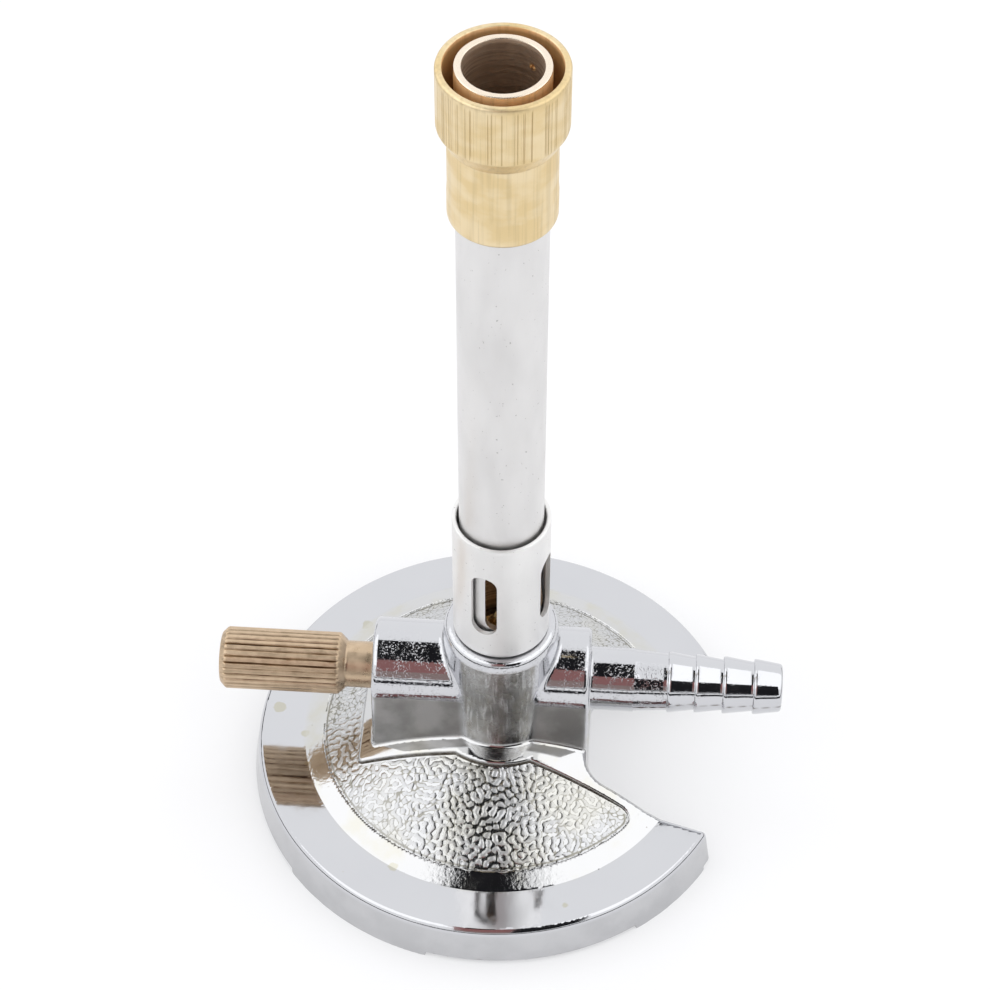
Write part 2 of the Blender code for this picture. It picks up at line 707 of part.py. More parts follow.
def build():
    clear_scene()
    parts = new_collection(PARTS)
    cutters = new_collection(CUTTERS)
    cutters.hide_render = True
    chrome = new_material("chrome plate", (0.80, 0.81, 0.82), 0.10, 1.0)
    nickel = new_material("satin nickel", (0.78, 0.77, 0.75), 0.30, 1.0)
    sleeve_nickel = new_material("satin nickel sleeve", (0.76, 0.755, 0.74), 0.27, 1.0)
    yellow_brass = new_material("yellow brass", (0.82, 0.66, 0.36), 0.28, 1.0)
    red_brass = new_material("red brass", (0.68, 0.48, 0.30), 0.34, 1.0)
    jet_brass = new_material("jet brass", (0.75, 0.57, 0.28), 0.30, 1.0)
    steel = new_material("spring steel", (0.55, 0.55, 0.56), 0.35, 1.0)
    fibre = new_material("red fibre", (0.32, 0.10, 0.06), 0.80, 0.0)
    rubber = new_material("black rubber", (0.02, 0.02, 0.02), 0.70, 0.0)
    finished = (
        (base_casting(parts, cutters), chrome),
        (burner_tube(parts, cutters), nickel),
        (air_sleeve(parts, cutters), sleeve_nickel),
        (friction_ring(parts, cutters), steel),
        (stabiliser_collar(parts, cutters), yellow_brass),
        (gas_jet(parts, cutters), jet_brass),
        (jet_washer(parts), fibre),
        (valve_spindle(parts, cutters), red_brass),
        (spindle_o_ring(parts), rubber),
    )
    for item, material in finished:
        item.data.materials.append(material)


build()
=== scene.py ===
"""Looks of the bunsen burner: finished pieces for each CAD part, a studio, and the camera.

Lengths are in millimetres until a mesh is made. The frame is the CAD's: +Z up the barrel, +X along the
valve to the hose barb, the front faces -Y.
"""

from math import atan2, ceil, cos, hypot, pi, radians, sin, sqrt, tan, tau

import bmesh
import bpy
import numpy as np
from mathutils import Matrix, Vector


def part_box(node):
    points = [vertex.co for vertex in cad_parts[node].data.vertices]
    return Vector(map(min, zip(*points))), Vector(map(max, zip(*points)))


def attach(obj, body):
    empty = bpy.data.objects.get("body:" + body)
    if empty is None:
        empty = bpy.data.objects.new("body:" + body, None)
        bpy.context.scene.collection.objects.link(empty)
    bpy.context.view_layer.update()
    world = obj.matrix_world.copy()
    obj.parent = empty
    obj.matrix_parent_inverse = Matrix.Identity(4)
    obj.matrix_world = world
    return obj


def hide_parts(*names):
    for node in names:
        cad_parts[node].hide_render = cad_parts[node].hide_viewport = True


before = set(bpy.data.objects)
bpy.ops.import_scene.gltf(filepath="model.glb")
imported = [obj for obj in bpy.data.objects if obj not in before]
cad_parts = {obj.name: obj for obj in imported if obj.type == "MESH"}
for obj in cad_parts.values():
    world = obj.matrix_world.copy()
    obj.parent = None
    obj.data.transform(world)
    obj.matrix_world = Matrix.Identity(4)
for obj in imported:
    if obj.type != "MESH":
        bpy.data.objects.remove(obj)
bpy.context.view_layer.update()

MM = 0.001
FAR = 1e9


def cad_box(node):
    """Lowest and highest corner of a CAD node, in millimetres."""
    low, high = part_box(node)
    return low / MM, high / MM


BASE_LOW, BASE_HIGH = cad_box("base_casting")
TUBE_LOW, TUBE_HIGH = cad_box("burner_tube")
SLEEVE_LOW, SLEEVE_HIGH = cad_box("air_sleeve")
COLLAR_LOW, COLLAR_HIGH = cad_box("stabiliser_collar")
SPINDLE_LOW, SPINDLE_HIGH = cad_box("valve_spindle")

# Base disc
DISC_X = -0.6
RIM_FOOT_RADIUS = 40.6
RIM_TOP_RADIUS = 39.6
RIM_TOP = 6.75
BAND_TOP = 7.45
BAND_OUTER_RADIUS = 38.9
RIM_BEVEL = radians(33)
RIM_EDGE = 0.4
BAND_INNER_RADIUS = 31.9
LIP_RADIUS = 29.2
LIP_TOP = 8.6
LIP_SLANT = 0.92
DOME_RADIUS = 54.5
DOME_CENTRE = LIP_TOP - sqrt(DOME_RADIUS**2 - LIP_RADIUS**2)
DOME_CUT_Z = 4.0
SHELL = 2.5
FOOT_HEIGHT = 0.8
FOOT_GAPS = ((-128.3, -51.7), (-12.5, 37.4), (60.2, 119.8), (142.6, 192.5))

# Hose notch
NOTCH_X = 14.8
NOTCH_HALF_WIDTH = 12.0
NOTCH_SLOPE = 0.287
NOTCH_CORNER = 2.5
NOTCH_EDGE = 0.9

# Sunken panel and the land around the valve block. LAND_EDGE is a start in X and a half width
PANEL_DEPTH = 1.0
PANEL_RISE = 0.5
PANEL_RISE_START = 18.0
PANEL_RADIUS = 28.7
PANEL_CORNER = 2.5
PANEL_EDGE = 0.38
LAND_HALF_WIDTH = 10.7
LAND_LEFT_X = -22.7
LAND_CORNER = 0.8
LAND_BULGE_RADIUS = 12.6
LAND_EDGE = (5.4, 11.38)

# Valve block, boss and barb. The boss's shoulder and foot are each a radius and a height
BLOCK_LEFT_X = -20.5
BLOCK_RIGHT_X = 14.5
BLOCK_RADIUS = 7.4
BLOCK_AXIS_Z = 24.4
BLOCK_SPLAY = radians(3.75)
BLOCK_EDGE = 0.75
BLOCK_FOOT_Z = 12.0
BOSS_TOP = 36.45
BOSS_SHOULDER = (9.2, 35.2)
BOSS_FOOT = (9.55, 15.5)
BOSS_CHAMFER = radians(52)
BLOCK_FILLET = 0.45
BOSS_FILLET = 0.55
HUB_FILLET = 0.35
BARB_Z = 23.3
HUB_RADIUS = 5.12
HUB_END_X = 21.6
BARB_STEPS_X = (27.0, 31.4, 35.9, 40.8)
BARB_LARGE = (4.9, 4.7, 4.62, 4.45)
BARB_SMALL = (4.32, 4.12, 4.0, 3.88)
BARB_END_X = 45.4
SEAM_RISE = 0.21

# Round passages: radius, start and end along the axis, edge radius
VALVE_Z = 23.5
VALVE_PASSAGES = ((3.83, -30.0, -11.0, 0.3), (2.95, -12.0, 1.6, 0.05), (2.5, 3.6, 60.0, 0.05))
BARREL_PASSAGES = ((6.55, 30.0, 60.0, 0.2), (2.55, 27.0, 60.0, 0.05))

# Air slots of the barrel and the sleeve, and the pilot ports
SLOT_WIDTH = 4.2
SLOT_LOW = 42.0
SLOT_HIGH = 55.4
SLOT_REACH = 12.0
SLEEVE_TURN = -17.3
PORT_TURNS = (139.0, 19.0, -101.0)
PORT_Z = 146.5
PORT_RADIUS = 0.55

# Collar head and pocket
COLLAR_NECK_RADIUS = 7.63
POCKET_RADIUS = 8.0
POCKET_FLOOR_Z = 141.5
COLLAR_LINES = 230
COLLAR_LINE_DEPTH = 0.11

# Knob
KNOB_RADIUS = 5.02
KNOB_START_X = -44.6
KNOB_END_X = -26.3
KNURL_COUNT = 30
KNURL_DEPTH = 0.34

# Grain of the sunken panel
GRAIN_WAVE = 1.16
GRAIN_FINE_WAVE = 0.75
GRAIN_BOLD_WAVE = 5.0
GRAIN_LIFT = 0.03
GRAIN_HEIGHT = 0.07
GRAIN_COVE = 0.14

# Stains on the plate: place and radius
STAINS = (
    (-37.3, 2.5, 7.45, 1.1),
    (-32.4, -2.7, 7.7, 0.8),
    (-31.4, -8.7, 7.6, 0.45),
    (-15.4, -28.3, 7.7, 0.8),
    (-24.3, 21.1, 7.5, 1.0),
    (12.5, -33.5, 7.45, 0.5),
    (34.0, -17.0, 7.45, 0.5),
    (-23.3, -29.6, 7.45, 0.1),
)

# Sizes of the mesh cells
CASTING_CELL = 0.35
GRAIN_CELL = 0.135


# ---- distance fields


def ramp(value, start, length):
    """0 up to start, then rising to 1 over a length."""
    return np.clip((value - start) / length, 0, 1)


def fall(value, end, length):
    """1 at first, then falling over a length to 0 at end."""
    return np.clip((end - value) / length, 0, 1)


def polygon_distance(x, y, outline):
    """Signed distance from points to a closed outline, negative inside."""
    nearest = FAR
    inside = False
    for (ax, ay), (bx, by) in zip(outline, outline[1:] + outline[:1]):
        ex, ey = bx - ax, by - ay
        along = np.clip(((x - ax) * ex + (y - ay) * ey) / (ex * ex + ey * ey), 0, 1)
        nearest = np.minimum(nearest, (x - ax - ex * along) ** 2 + (y - ay - ey * along) ** 2)
        if ey:
            inside = inside ^ (((ay > y) != (by > y)) & (x < ax + (y - ay) * (ex / ey)))
    return np.where(inside, -1.0, 1.0) * np.sqrt(nearest)


def join(a, b, radius):
    """Union of two fields with a fillet between them."""
    inner = np.hypot(np.maximum(radius - a, 0), np.maximum(radius - b, 0))
    return np.maximum(radius, np.minimum(a, b)) - inner


def common(a, b, radius):
    """Intersection of two fields with a rounded edge."""
    outer = np.hypot(np.maximum(radius + a, 0), np.maximum(radius + b, 0))
    return np.minimum(-radius, np.maximum(a, b)) + outer


def cut(a, b, radius):
    """Field a with field b cut out of it, the edge rounded."""
    return common(a, -b, radius)


def rod(across, up, along, radius, start, end):
    """Cylinder between two places along its axis."""
    middle, half = (start + end) / 2, (end - start) / 2
    return np.maximum(np.hypot(across, up) - radius, abs(along - middle) - half)


def wedge(x, y, start, half_width):
    """Plan of a shape that starts at one X and widens towards +X."""
    side = (abs(y) - half_width - NOTCH_SLOPE * (x - start)) / sqrt(1 + NOTCH_SLOPE**2)
    return start - x, side


def notch_plan(x, y, grow=0.0):
    """Plan of the hose notch, grown by some amount."""
    front, side = wedge(x, y, NOTCH_X, NOTCH_HALF_WIDTH)
    return common(front - grow, side - grow, NOTCH_CORNER + grow)


def panel_plan(x, y):
    """Plan of the sunken panel: the round of the disc less the land around the block, boss and notch."""
    left = common(LAND_LEFT_X - x, abs(y) - LAND_HALF_WIDTH, LAND_CORNER)
    land = np.minimum(np.maximum(left, x), np.hypot(x, y) - LAND_BULGE_RADIUS)
    land = np.minimum(land, np.maximum(*wedge(x, y, *LAND_EDGE)))
    return common(np.hypot(x - DISC_X, y) - PANEL_RADIUS, -land, PANEL_CORNER)


def panel_depth(r):
    """How far the panel's floor lies under the dome, less towards its outer edge."""
    outward = ramp(r, PANEL_RISE_START, PANEL_RADIUS - PANEL_RISE_START)
    return PANEL_DEPTH - PANEL_RISE * outward**2


def disc_field(r, z):
    """Rim with a rounded corner, bevel, flat band, sloping lip and dome."""
    lean = atan2(RIM_FOOT_RADIUS - RIM_TOP_RADIUS, RIM_TOP)
    side = (r - RIM_TOP_RADIUS) * cos(lean) + (z - RIM_TOP) * sin(lean)
    bevel = (r - BAND_OUTER_RADIUS) * sin(RIM_BEVEL) + (z - BAND_TOP) * cos(RIM_BEVEL)
    slope = fall(r, BAND_INNER_RADIUS, BAND_INNER_RADIUS - LIP_RADIUS)
    top = (z - BAND_TOP - slope * (LIP_TOP - BAND_TOP)) * LIP_SLANT
    rim = np.maximum(common(side, bevel, RIM_EDGE), np.maximum(top, -z))
    sphere = np.hypot(r, z - DOME_CENTRE) - DOME_RADIUS
    return np.minimum(rim, np.maximum(sphere, np.maximum(r - LIP_RADIUS, DOME_CUT_Z - z)))


def hollow_field(r, z):
    """Space under the disc."""
    roof = BAND_TOP - SHELL
    wall = RIM_FOOT_RADIUS - SHELL
    inner, under = -50, -6
    step = [(wall, 0), (wall - 1.0, roof - 0.6), (wall - 1.6, roof)]
    flat = [(inner, under), (wall, under), *step, (inner, roof)]
    sphere = np.hypot(r, z + SHELL - DOME_CENTRE) - DOME_RADIUS
    return join(polygon_distance(r, z, flat), np.maximum(sphere, r - LIP_RADIUS), 0.5)


def foot_gap_field(x, y, z):
    """Shallow gaps between the foot pads. Angles are measured from the front."""
    gaps = FAR
    for first, last in FOOT_GAPS:
        a, b = radians(first - 90), radians(last - 90)
        from_first = sin(a) * x - cos(a) * y
        to_last = cos(b) * y - sin(b) * x
        gaps = np.minimum(gaps, np.maximum(from_first, to_last))
    return np.maximum(gaps, z - FOOT_HEIGHT)


def block_field(x, y, z):
    """Valve block with a round top and sides that splay a little."""
    side, rise = abs(y), z - BLOCK_AXIS_Z
    wall = side * cos(BLOCK_SPLAY) + rise * sin(BLOCK_SPLAY) - BLOCK_RADIUS
    above = rise * cos(BLOCK_SPLAY) - side * sin(BLOCK_SPLAY) > 0
    section = np.where(above, np.hypot(side, rise) - BLOCK_RADIUS, wall)
    middle, half = (BLOCK_LEFT_X + BLOCK_RIGHT_X) / 2, (BLOCK_RIGHT_X - BLOCK_LEFT_X) / 2
    return common(common(section, abs(x - middle) - half, BLOCK_EDGE), BLOCK_FOOT_Z - z, 0.1)


def boss_field(r, z):
    """Tapered upright boss with a chamfered top."""
    taper = atan2(BOSS_FOOT[0] - BOSS_SHOULDER[0], BOSS_SHOULDER[1] - BOSS_FOOT[1])
    wall = (r - BOSS_SHOULDER[0]) * cos(taper) + (z - BOSS_SHOULDER[1]) * sin(taper)
    chamfer = (r - BOSS_SHOULDER[0]) * sin(BOSS_CHAMFER)
    chamfer = chamfer + (z - BOSS_SHOULDER[1] - 0.35) * cos(BOSS_CHAMFER)
    crown = common(common(wall, chamfer, 0.45), z - BOSS_TOP, 0.3)
    return common(crown, BLOCK_FOOT_Z - z, 0.1)


def casting_field(x, y, z):
    """The whole base casting but for its barb and its grain."""
    disc_r = np.hypot(x - DISC_X, y)
    body = disc_field(disc_r, z)
    lowered = DOME_RADIUS - np.hypot(disc_r, z - DOME_CENTRE + panel_depth(disc_r))
    panel = np.maximum(panel_plan(x, y), lowered)
    body = cut(body, panel, PANEL_EDGE)
    body = cut(body, notch_plan(x, y), NOTCH_EDGE)
    body = join(body, block_field(x, y, z), BLOCK_FILLET)
    body = join(body, boss_field(np.hypot(x, y), z), BOSS_FILLET)
    body = join(body, rod(y, z - BARB_Z, x, HUB_RADIUS, 6.0, HUB_END_X), HUB_FILLET)
    body = cut(body, cut(hollow_field(disc_r, z), notch_plan(x, y, SHELL), 0.4), 0.3)
    body = cut(body, foot_gap_field(x - DISC_X, y, z), 0.1)
    for *passage, edge in VALVE_PASSAGES:
        body = cut(body, rod(y, z - VALVE_Z, x, *passage), edge)
    for *passage, edge in BARREL_PASSAGES:
        body = cut(body, rod(x, y, z, *passage), edge)
    return body


# ---- meshing


def field_slope(field, points):
    """Value and gradient of a field at many points."""
    value = field(*points.T)
    shifts = np.eye(3) * 0.01
    return value, np.stack([(field(*(points + shift).T) - value) / 0.01 for shift in shifts], 1)


def surface_cells(solid):
    """Marks the cells that have corners on both sides of the surface."""
    corners = solid.astype(np.int8)
    corners = corners[1:] + corners[:-1]
    corners = corners[:, 1:] + corners[:, :-1]
    corners = corners[:, :, 1:] + corners[:, :, :-1]
    return (corners > 0) & (corners < 8)


def crossings(field, value, edges, axis, corner, cell):
    """Where the surface cuts some of the grid's edges, and its slope there."""
    far = edges.copy()
    far[:, axis] += 1
    f0, f1 = value[tuple(edges.T)].astype(float), value[tuple(far.T)].astype(float)
    cross = corner + edges * cell
    cross[:, axis] += f0 / (f0 - f1) * cell
    miss, slope = field_slope(field, cross)
    along = slope[:, axis]
    step = miss / np.where(abs(along) < 0.1, FAR, along)
    cross[:, axis] -= np.clip(step, -0.3 * cell, 0.3 * cell)
    return cross, unit(field_slope(field, cross)[1])


def snapped(field, sums, centre, cell):
    """The point of each cell that lies best on all planes through its crossings."""
    count = sums[0]
    middle = (sums[1:4] / count).T
    square = sums[[10, 11, 12, 11, 13, 14, 12, 14, 15]].T.reshape(-1, 3, 3)
    lack = sums[7:10].T - np.einsum("nij,nj->ni", square, middle)
    size, turn = np.linalg.eigh(square)
    gain = np.where(size > 0.008 * count[:, None], 1 / np.maximum(size, 1e-9), 0)
    points = middle + np.einsum("nij,nj,nkj,nk->ni", turn, gain, turn, lack)
    points = np.clip(points, centre - 0.6 * cell, centre + 0.6 * cell)
    miss, slope = field_slope(field, points)
    step = slope * (miss / np.maximum((slope**2).sum(1), 0.25))[:, None]
    points -= np.clip(step, -0.25 * cell, 0.25 * cell)
    return points


def corner_normals(field, points, quads, creased):
    """A normal for each corner of each quad, its own face's where the point lies on a crease."""
    normals = unit(field_slope(field, points)[1])[quads]
    face, place = np.nonzero(creased[quads])
    own = points[quads[face, place]]
    inward = own + 0.3 * (points[quads[face]].mean(1) - own)
    side = unit(field_slope(field, inward)[1])
    alike = (side * normals[face, place]).sum(1) > cos(radians(8))
    normals[face, place] = np.where(alike[:, None], normals[face, place], side)
    return normals.reshape(-1, 3)


def skin(field, low, high, cell):
    """Quads on the surface of a field, points snapped to its creases, and a normal for each corner."""
    axes = [np.arange(a, b + cell, cell, dtype=np.float32) for a, b in zip(low, high)]
    x, y, z = axes[0][:, None, None], axes[1][None, :, None], axes[2][None, None, :]
    value = np.concatenate([field(x[i:i + 6], y, z) for i in range(0, len(x), 6)])
    solid = value < 0
    mixed = surface_cells(solid)
    cells = np.argwhere(mixed)
    number = np.full(mixed.shape, -1)
    number[tuple(cells.T)] = np.arange(len(cells))
    corner = np.array([a[0] for a in axes], float)
    # For each cell: count, place, slope, slope times reach, and the six products of the slope's parts
    sums = np.zeros((16, len(cells)))
    quads = []
    for axis in range(3):
        sides = [a for a in range(3) if a != axis]
        change = np.diff(solid.astype(np.int8), axis=axis)
        edges = np.argwhere(change)
        within = [(edges[:, side] > 0) & (edges[:, side] < mixed.shape[side]) for side in sides]
        edges = edges[np.all(within, axis=0)]
        cross, slope = crossings(field, value, edges, axis, corner, cell)
        reach = (slope * cross).sum(1)
        terms = [np.ones(len(cross)), *cross.T, *slope.T, *(slope * reach[:, None]).T]
        terms += [slope[:, a] * slope[:, b] for a, b in ((0, 0), (0, 1), (0, 2), (1, 1), (1, 2), (2, 2))]
        ring = []
        for back in ((1, 1), (0, 1), (0, 0), (1, 0)):
            near = edges.copy()
            near[:, sides] -= back
            ring.append(number[tuple(near.T)])
            for row, term in zip(sums, terms):
                row += np.bincount(ring[-1], term, len(cells))
        ring = np.stack(ring, 1)
        flips = change[tuple(edges.T)] * (1 if axis != 1 else -1) < 0
        ring[~flips] = ring[~flips][:, ::-1]
        quads.append(ring)
    quads = np.concatenate(quads)
    points = snapped(field, sums, corner + (cells + 0.5) * cell, cell)
    creased = np.linalg.norm(sums[4:7], axis=0) / sums[0] < 0.9985
    return points, quads, corner_normals(field, points, quads, creased)


def unit(vectors):
    """Vectors of length one."""
    return vectors / np.maximum(np.linalg.norm(vectors, axis=1), 1e-9)[:, None]


def add_object(name, data):
    """New object in the scene."""
    item = bpy.data.objects.new(name, data)
    bpy.context.scene.collection.objects.link(item)
    return item


def mesh_piece(name, points, faces, normals=None):
    """Smooth-shaded object from points in millimetres."""
    mesh = bpy.data.meshes.new(name)
    mesh.from_pydata((np.asarray(points) * MM).tolist(), [], np.asarray(faces).tolist())
    mesh.shade_smooth()
    if normals is not None:
        mesh.normals_split_custom_set(normals.tolist())
    return add_object(name, mesh)


def lathe(name, profile, segments, relief=None, axis="Z", height=0.0):
    """Closed profile of (radius, position) turned about Z or X, with an optional radial relief."""
    profile = np.array(profile, float)
    angles = np.linspace(0, tau, segments, endpoint=False)
    turn, radius = np.meshgrid(angles, profile[:, 0], indexing="ij")
    place = np.broadcast_to(profile[:, 1], turn.shape)
    if relief is not None:
        radius = radius + relief(turn, radius, place)
    across, up = radius * np.cos(turn), radius * np.sin(turn)
    parts = (across, up, place + height) if axis == "Z" else (place, across, up + height)
    points = np.stack(parts, -1)
    rows = len(profile)
    here = np.arange(segments)[:, None] * rows + np.arange(rows)[None]
    there = np.roll(here, -1, 0)
    quads = np.stack([here, there, np.roll(there, -1, 1), np.roll(here, -1, 1)], -1).reshape(-1, 4)
    piece = mesh_piece(name, points.reshape(-1, 3), quads)
    tidy(piece)
    return piece


def tidy(piece):
    """Weld points that meet on an axis and face everything outwards."""
    builder = bmesh.new()
    builder.from_mesh(piece.data)
    bmesh.ops.remove_doubles(builder, verts=builder.verts, dist=1e-7)
    bmesh.ops.dissolve_degenerate(builder, edges=builder.edges, dist=1e-8)
    bmesh.ops.recalc_face_normals(builder, faces=builder.faces)
    builder.to_mesh(piece.data)
    builder.free()
    piece.data.shade_smooth()


def refined(profile, longest):
    """The same closed profile with its long sides divided."""
    fine = []
    for (a, b), (c, d) in zip(profile, profile[1:] + profile[:1]):
        steps = max(1, ceil(hypot(c - a, d - b) / longest))
        fine += [(a + (c - a) * s / steps, b + (d - b) * s / steps) for s in range(steps)]
    return fine


def sharp_over(piece, degrees):
    """Shade smooth but keep edges over an angle crisp."""
    piece.data.set_sharp_from_angle(angle=radians(degrees))
    return piece


def slot_cutter(turn):
    """Bar with round ends that cuts two opposite upright slots."""
    half = SLOT_WIDTH / 2
    ends = [radians(180 * step / 16) for step in range(17)]
    outline = [(half * cos(a), SLOT_HIGH - half + half * sin(a)) for a in ends]
    outline += [(-half * cos(a), SLOT_LOW + half - half * sin(a)) for a in ends]
    builder = bmesh.new()
    near = [builder.verts.new((x * MM, -SLOT_REACH * MM, z * MM)) for x, z in outline]
    face = builder.faces.new(near)
    grown = bmesh.ops.extrude_face_region(builder, geom=[face])
    far = [item for item in grown["geom"] if isinstance(item, bmesh.types.BMVert)]
    bmesh.ops.translate(builder, verts=far, vec=(0, 2 * SLOT_REACH * MM, 0))
    bmesh.ops.recalc_face_normals(builder, faces=builder.faces)
    mesh = bpy.data.meshes.new("slots")
    builder.to_mesh(mesh)
    builder.free()
    cutter = add_object("slots", mesh)
    cutter.rotation_euler.z = radians(turn)
    return cutter


def carve(piece, cutters):
    """Cut the cutters out of a piece for good and remove them."""
    for cutter in cutters:
        step = piece.modifiers.new(cutter.name, "BOOLEAN")
        step.operation = "DIFFERENCE"
        step.solver = "EXACT"
        step.object = cutter
    bpy.context.view_layer.update()
    shape = piece.evaluated_get(bpy.context.evaluated_depsgraph_get())
    mesh = bpy.data.meshes.new_from_object(shape)
    piece.modifiers.clear()
    piece.data = mesh
    for cutter in cutters:
        bpy.data.objects.remove(cutter)


def soften(piece, width, degrees):
    """Small rounded edges."""
    step = piece.modifiers.new("Edges", "BEVEL")
    step.width = width * MM
    step.segments = 2
    step.limit_method = "ANGLE"
    step.angle_limit = radians(degrees)
    step.use_clamp_overlap = True
    step.harden_normals = True


# ---- noise


def worm_noise(x, y, wavelength, seed):
    """Even, worm-like noise of one wavelength, of about unit size, at points in the plane."""
    random = np.random.default_rng(seed)
    count, step = 512, wavelength / 7
    spread = np.fft.fftfreq(count, step)
    pitch = np.hypot(spread[:, None], spread[None])
    band = np.exp(-(((pitch * wavelength - 1) / 0.16) ** 2))
    wave = np.real(np.fft.ifft2(np.fft.fft2(random.normal(size=(count, count))) * band))
    wave /= wave.std()
    u, v = (x / step) % count, (y / step) % count
    i, j = u.astype(int), v.astype(int)
    fu, fv = u - i, v - j
    i1, j1 = (i + 1) % count, (j + 1) % count
    near = wave[i, j] * (1 - fu) + wave[i1, j] * fu
    far = wave[i, j1] * (1 - fu) + wave[i1, j1] * fu
    return near * (1 - fv) + far * fv


# ---- pieces


def build_casting():
    """Everything of the base casting but its grain and its barb."""
    low = (BASE_LOW.x - 1, BASE_LOW.y - 1, -1.0)
    high = (HUB_END_X + 20, BASE_HIGH.y + 1, BOSS_TOP + 1)
    points, quads, normals = skin(casting_field, low, high, CASTING_CELL)
    points[:, 2] = np.maximum(points[:, 2], 0.0)
    return mesh_piece("base_casting_body", points, quads, normals)


def build_grain():
    """Grained floor of the sunken panel, a skin whose edge turns down into the casting."""
    grid = np.arange(-30.0, 30.0, GRAIN_CELL)
    x, y = np.meshgrid(grid + DISC_X, grid, indexing="ij")
    edge = panel_plan(x, y)
    wave = worm_noise(x, y, GRAIN_WAVE, 5) + 0.2 * worm_noise(x, y, GRAIN_FINE_WAVE, 9)
    bold = np.clip(1.0 + 0.12 * worm_noise(x, y, GRAIN_BOLD_WAVE, 12), 0.8, 1.2)
    rise = wave + 0.15
    island = 0.5 * (rise + np.sqrt(rise**2 + 0.02))
    crown = 1.0 - np.exp(-island / 0.42)
    line = np.exp(-((rise / 0.42) ** 2))
    fade = fall(edge, 0.0, 0.3)
    reach = np.hypot(x - DISC_X, y)
    # Thin dark line of painted shade where the panel floor meets its outer edge
    rim_line = np.exp(-(((edge + 0.42) / 0.18) ** 2)) * (reach > PANEL_RADIUS - 1.5)
    line = np.maximum(line, rim_line)
    height = DOME_CENTRE + np.sqrt(DOME_RADIUS**2 - reach**2) - panel_depth(reach)
    z = height + GRAIN_LIFT + fade * bold * GRAIN_HEIGHT * crown
    z += GRAIN_COVE * ramp(edge, -0.32, 0.32) ** 2
    z -= 0.6 * ramp(edge, 0.05, 0.25)
    keep = edge < 0.35
    number = np.full(x.shape, -1)
    number[keep] = np.arange(keep.sum())
    corners = [number[:-1, :-1], number[1:, :-1], number[1:, 1:], number[:-1, 1:]]
    quads = np.stack(corners, -1).reshape(-1, 4)
    quads = quads[(quads >= 0).all(1)]
    piece = mesh_piece("base_panel_grain", np.stack([x[keep], y[keep], z[keep]], 1), quads)
    store(piece, "groove", (line * fade)[keep])
    store(piece, "crown", (crown * fade)[keep])
    return piece


def build_barb():
    """Four barbs with the casting's parting line along both sides."""
    profile = [
        (3.2, 15.0), (HUB_RADIUS - 0.5, 15.0), (HUB_RADIUS - 0.5, HUB_END_X - 0.3),
        (HUB_RADIUS - 0.1, HUB_END_X - 0.25), (HUB_RADIUS - 0.14, HUB_END_X + 0.25),
        (HUB_RADIUS - 0.2, HUB_END_X + 0.7),
    ]
    last = 4.6
    for start, large, small in zip(BARB_STEPS_X, BARB_LARGE, BARB_SMALL):
        profile += [(last, start - 0.15), (last + 0.04, start), (large - 0.10, start + 0.06)]
        profile += [(large, start + 0.16), (large, start + 0.55)]
        last = small
    profile += [
        (last + 0.02, BARB_END_X - 0.35), (last - 0.12, BARB_END_X - 0.1), (last - 0.3, BARB_END_X),
        (2.75, BARB_END_X), (2.55, BARB_END_X - 0.08), (2.5, BARB_END_X - 0.25), (2.5, 16.0),
    ]

    def seam(turn, radius, place):
        on_hub = place < BARB_STEPS_X[0]
        raised = np.where(on_hub, SEAM_RISE, 0.0)
        ridge = np.exp(-((np.sin(turn - raised) / 0.025) ** 2)) * np.where(on_hub, 0.16, 0.06)
        broken = 0.55 + 0.45 * np.sin(place * 2.1 + 1.0) * np.sin(place * 3.73)
        return np.where(radius > 3.4, ridge * np.clip(broken, 0, 1), 0)

    return sharp_over(lathe("hose_barb", refined(profile, 0.7), 288, seam, "X", BARB_Z), 50)


def build_tube():
    """Barrel with four air slots and three pilot ports."""
    outer, bore = TUBE_HIGH.x, 5.47
    low, high = TUBE_LOW.z, TUBE_HIGH.z
    profile = [
        (bore, low), (outer - 0.3, low), (outer, low + 0.3), (outer, 58.0), (outer, high - 0.16),
        (outer - 0.05, high - 0.05), (outer - 0.16, high), (bore + 0.16, high),
        (bore + 0.05, high - 0.05), (bore, high - 0.16), (bore, 58.0),
    ]
    tube = lathe("burner_tube_wall", refined(profile, 0.9), 144)
    carve(tube, [slot_cutter(0), slot_cutter(90)] + [port_cutter(turn) for turn in PORT_TURNS])
    sharp_over(tube, 40)
    soften(tube, 0.12, 45)
    return tube


def port_cutter(angle):
    """Short bar that drills one pilot port. The angle is measured from the front."""
    half, wall = 1.2, 6.0
    cutter = lathe("pilot_port", [(0.0, -half), (PORT_RADIUS, -half), (PORT_RADIUS, half), (0.0, half)], 24)
    turn = radians(angle - 90)
    cutter.rotation_euler = (0, pi / 2, turn)
    cutter.location = (wall * MM * cos(turn), wall * MM * sin(turn), PORT_Z * MM)
    return cutter


def build_sleeve():
    """Short tube with slots of the barrel's size, at rest turned part of the way past them."""
    outer, bore = SLEEVE_HIGH.x, 6.9
    low, high = SLEEVE_LOW.z, SLEEVE_HIGH.z
    profile = [
        (bore, low), (outer - 0.2, low), (outer - 0.06, low + 0.06), (outer, low + 0.2),
        (outer, high - 0.2), (outer - 0.06, high - 0.06), (outer - 0.2, high),
        (bore + 0.15, high), (bore, high - 0.15),
    ]
    sleeve = lathe("air_sleeve_wall", refined(profile, 0.6), 168)
    carve(sleeve, [slot_cutter(SLEEVE_TURN), slot_cutter(90 + SLEEVE_TURN)])
    sharp_over(sleeve, 40)
    soften(sleeve, 0.14, 45)
    return sleeve


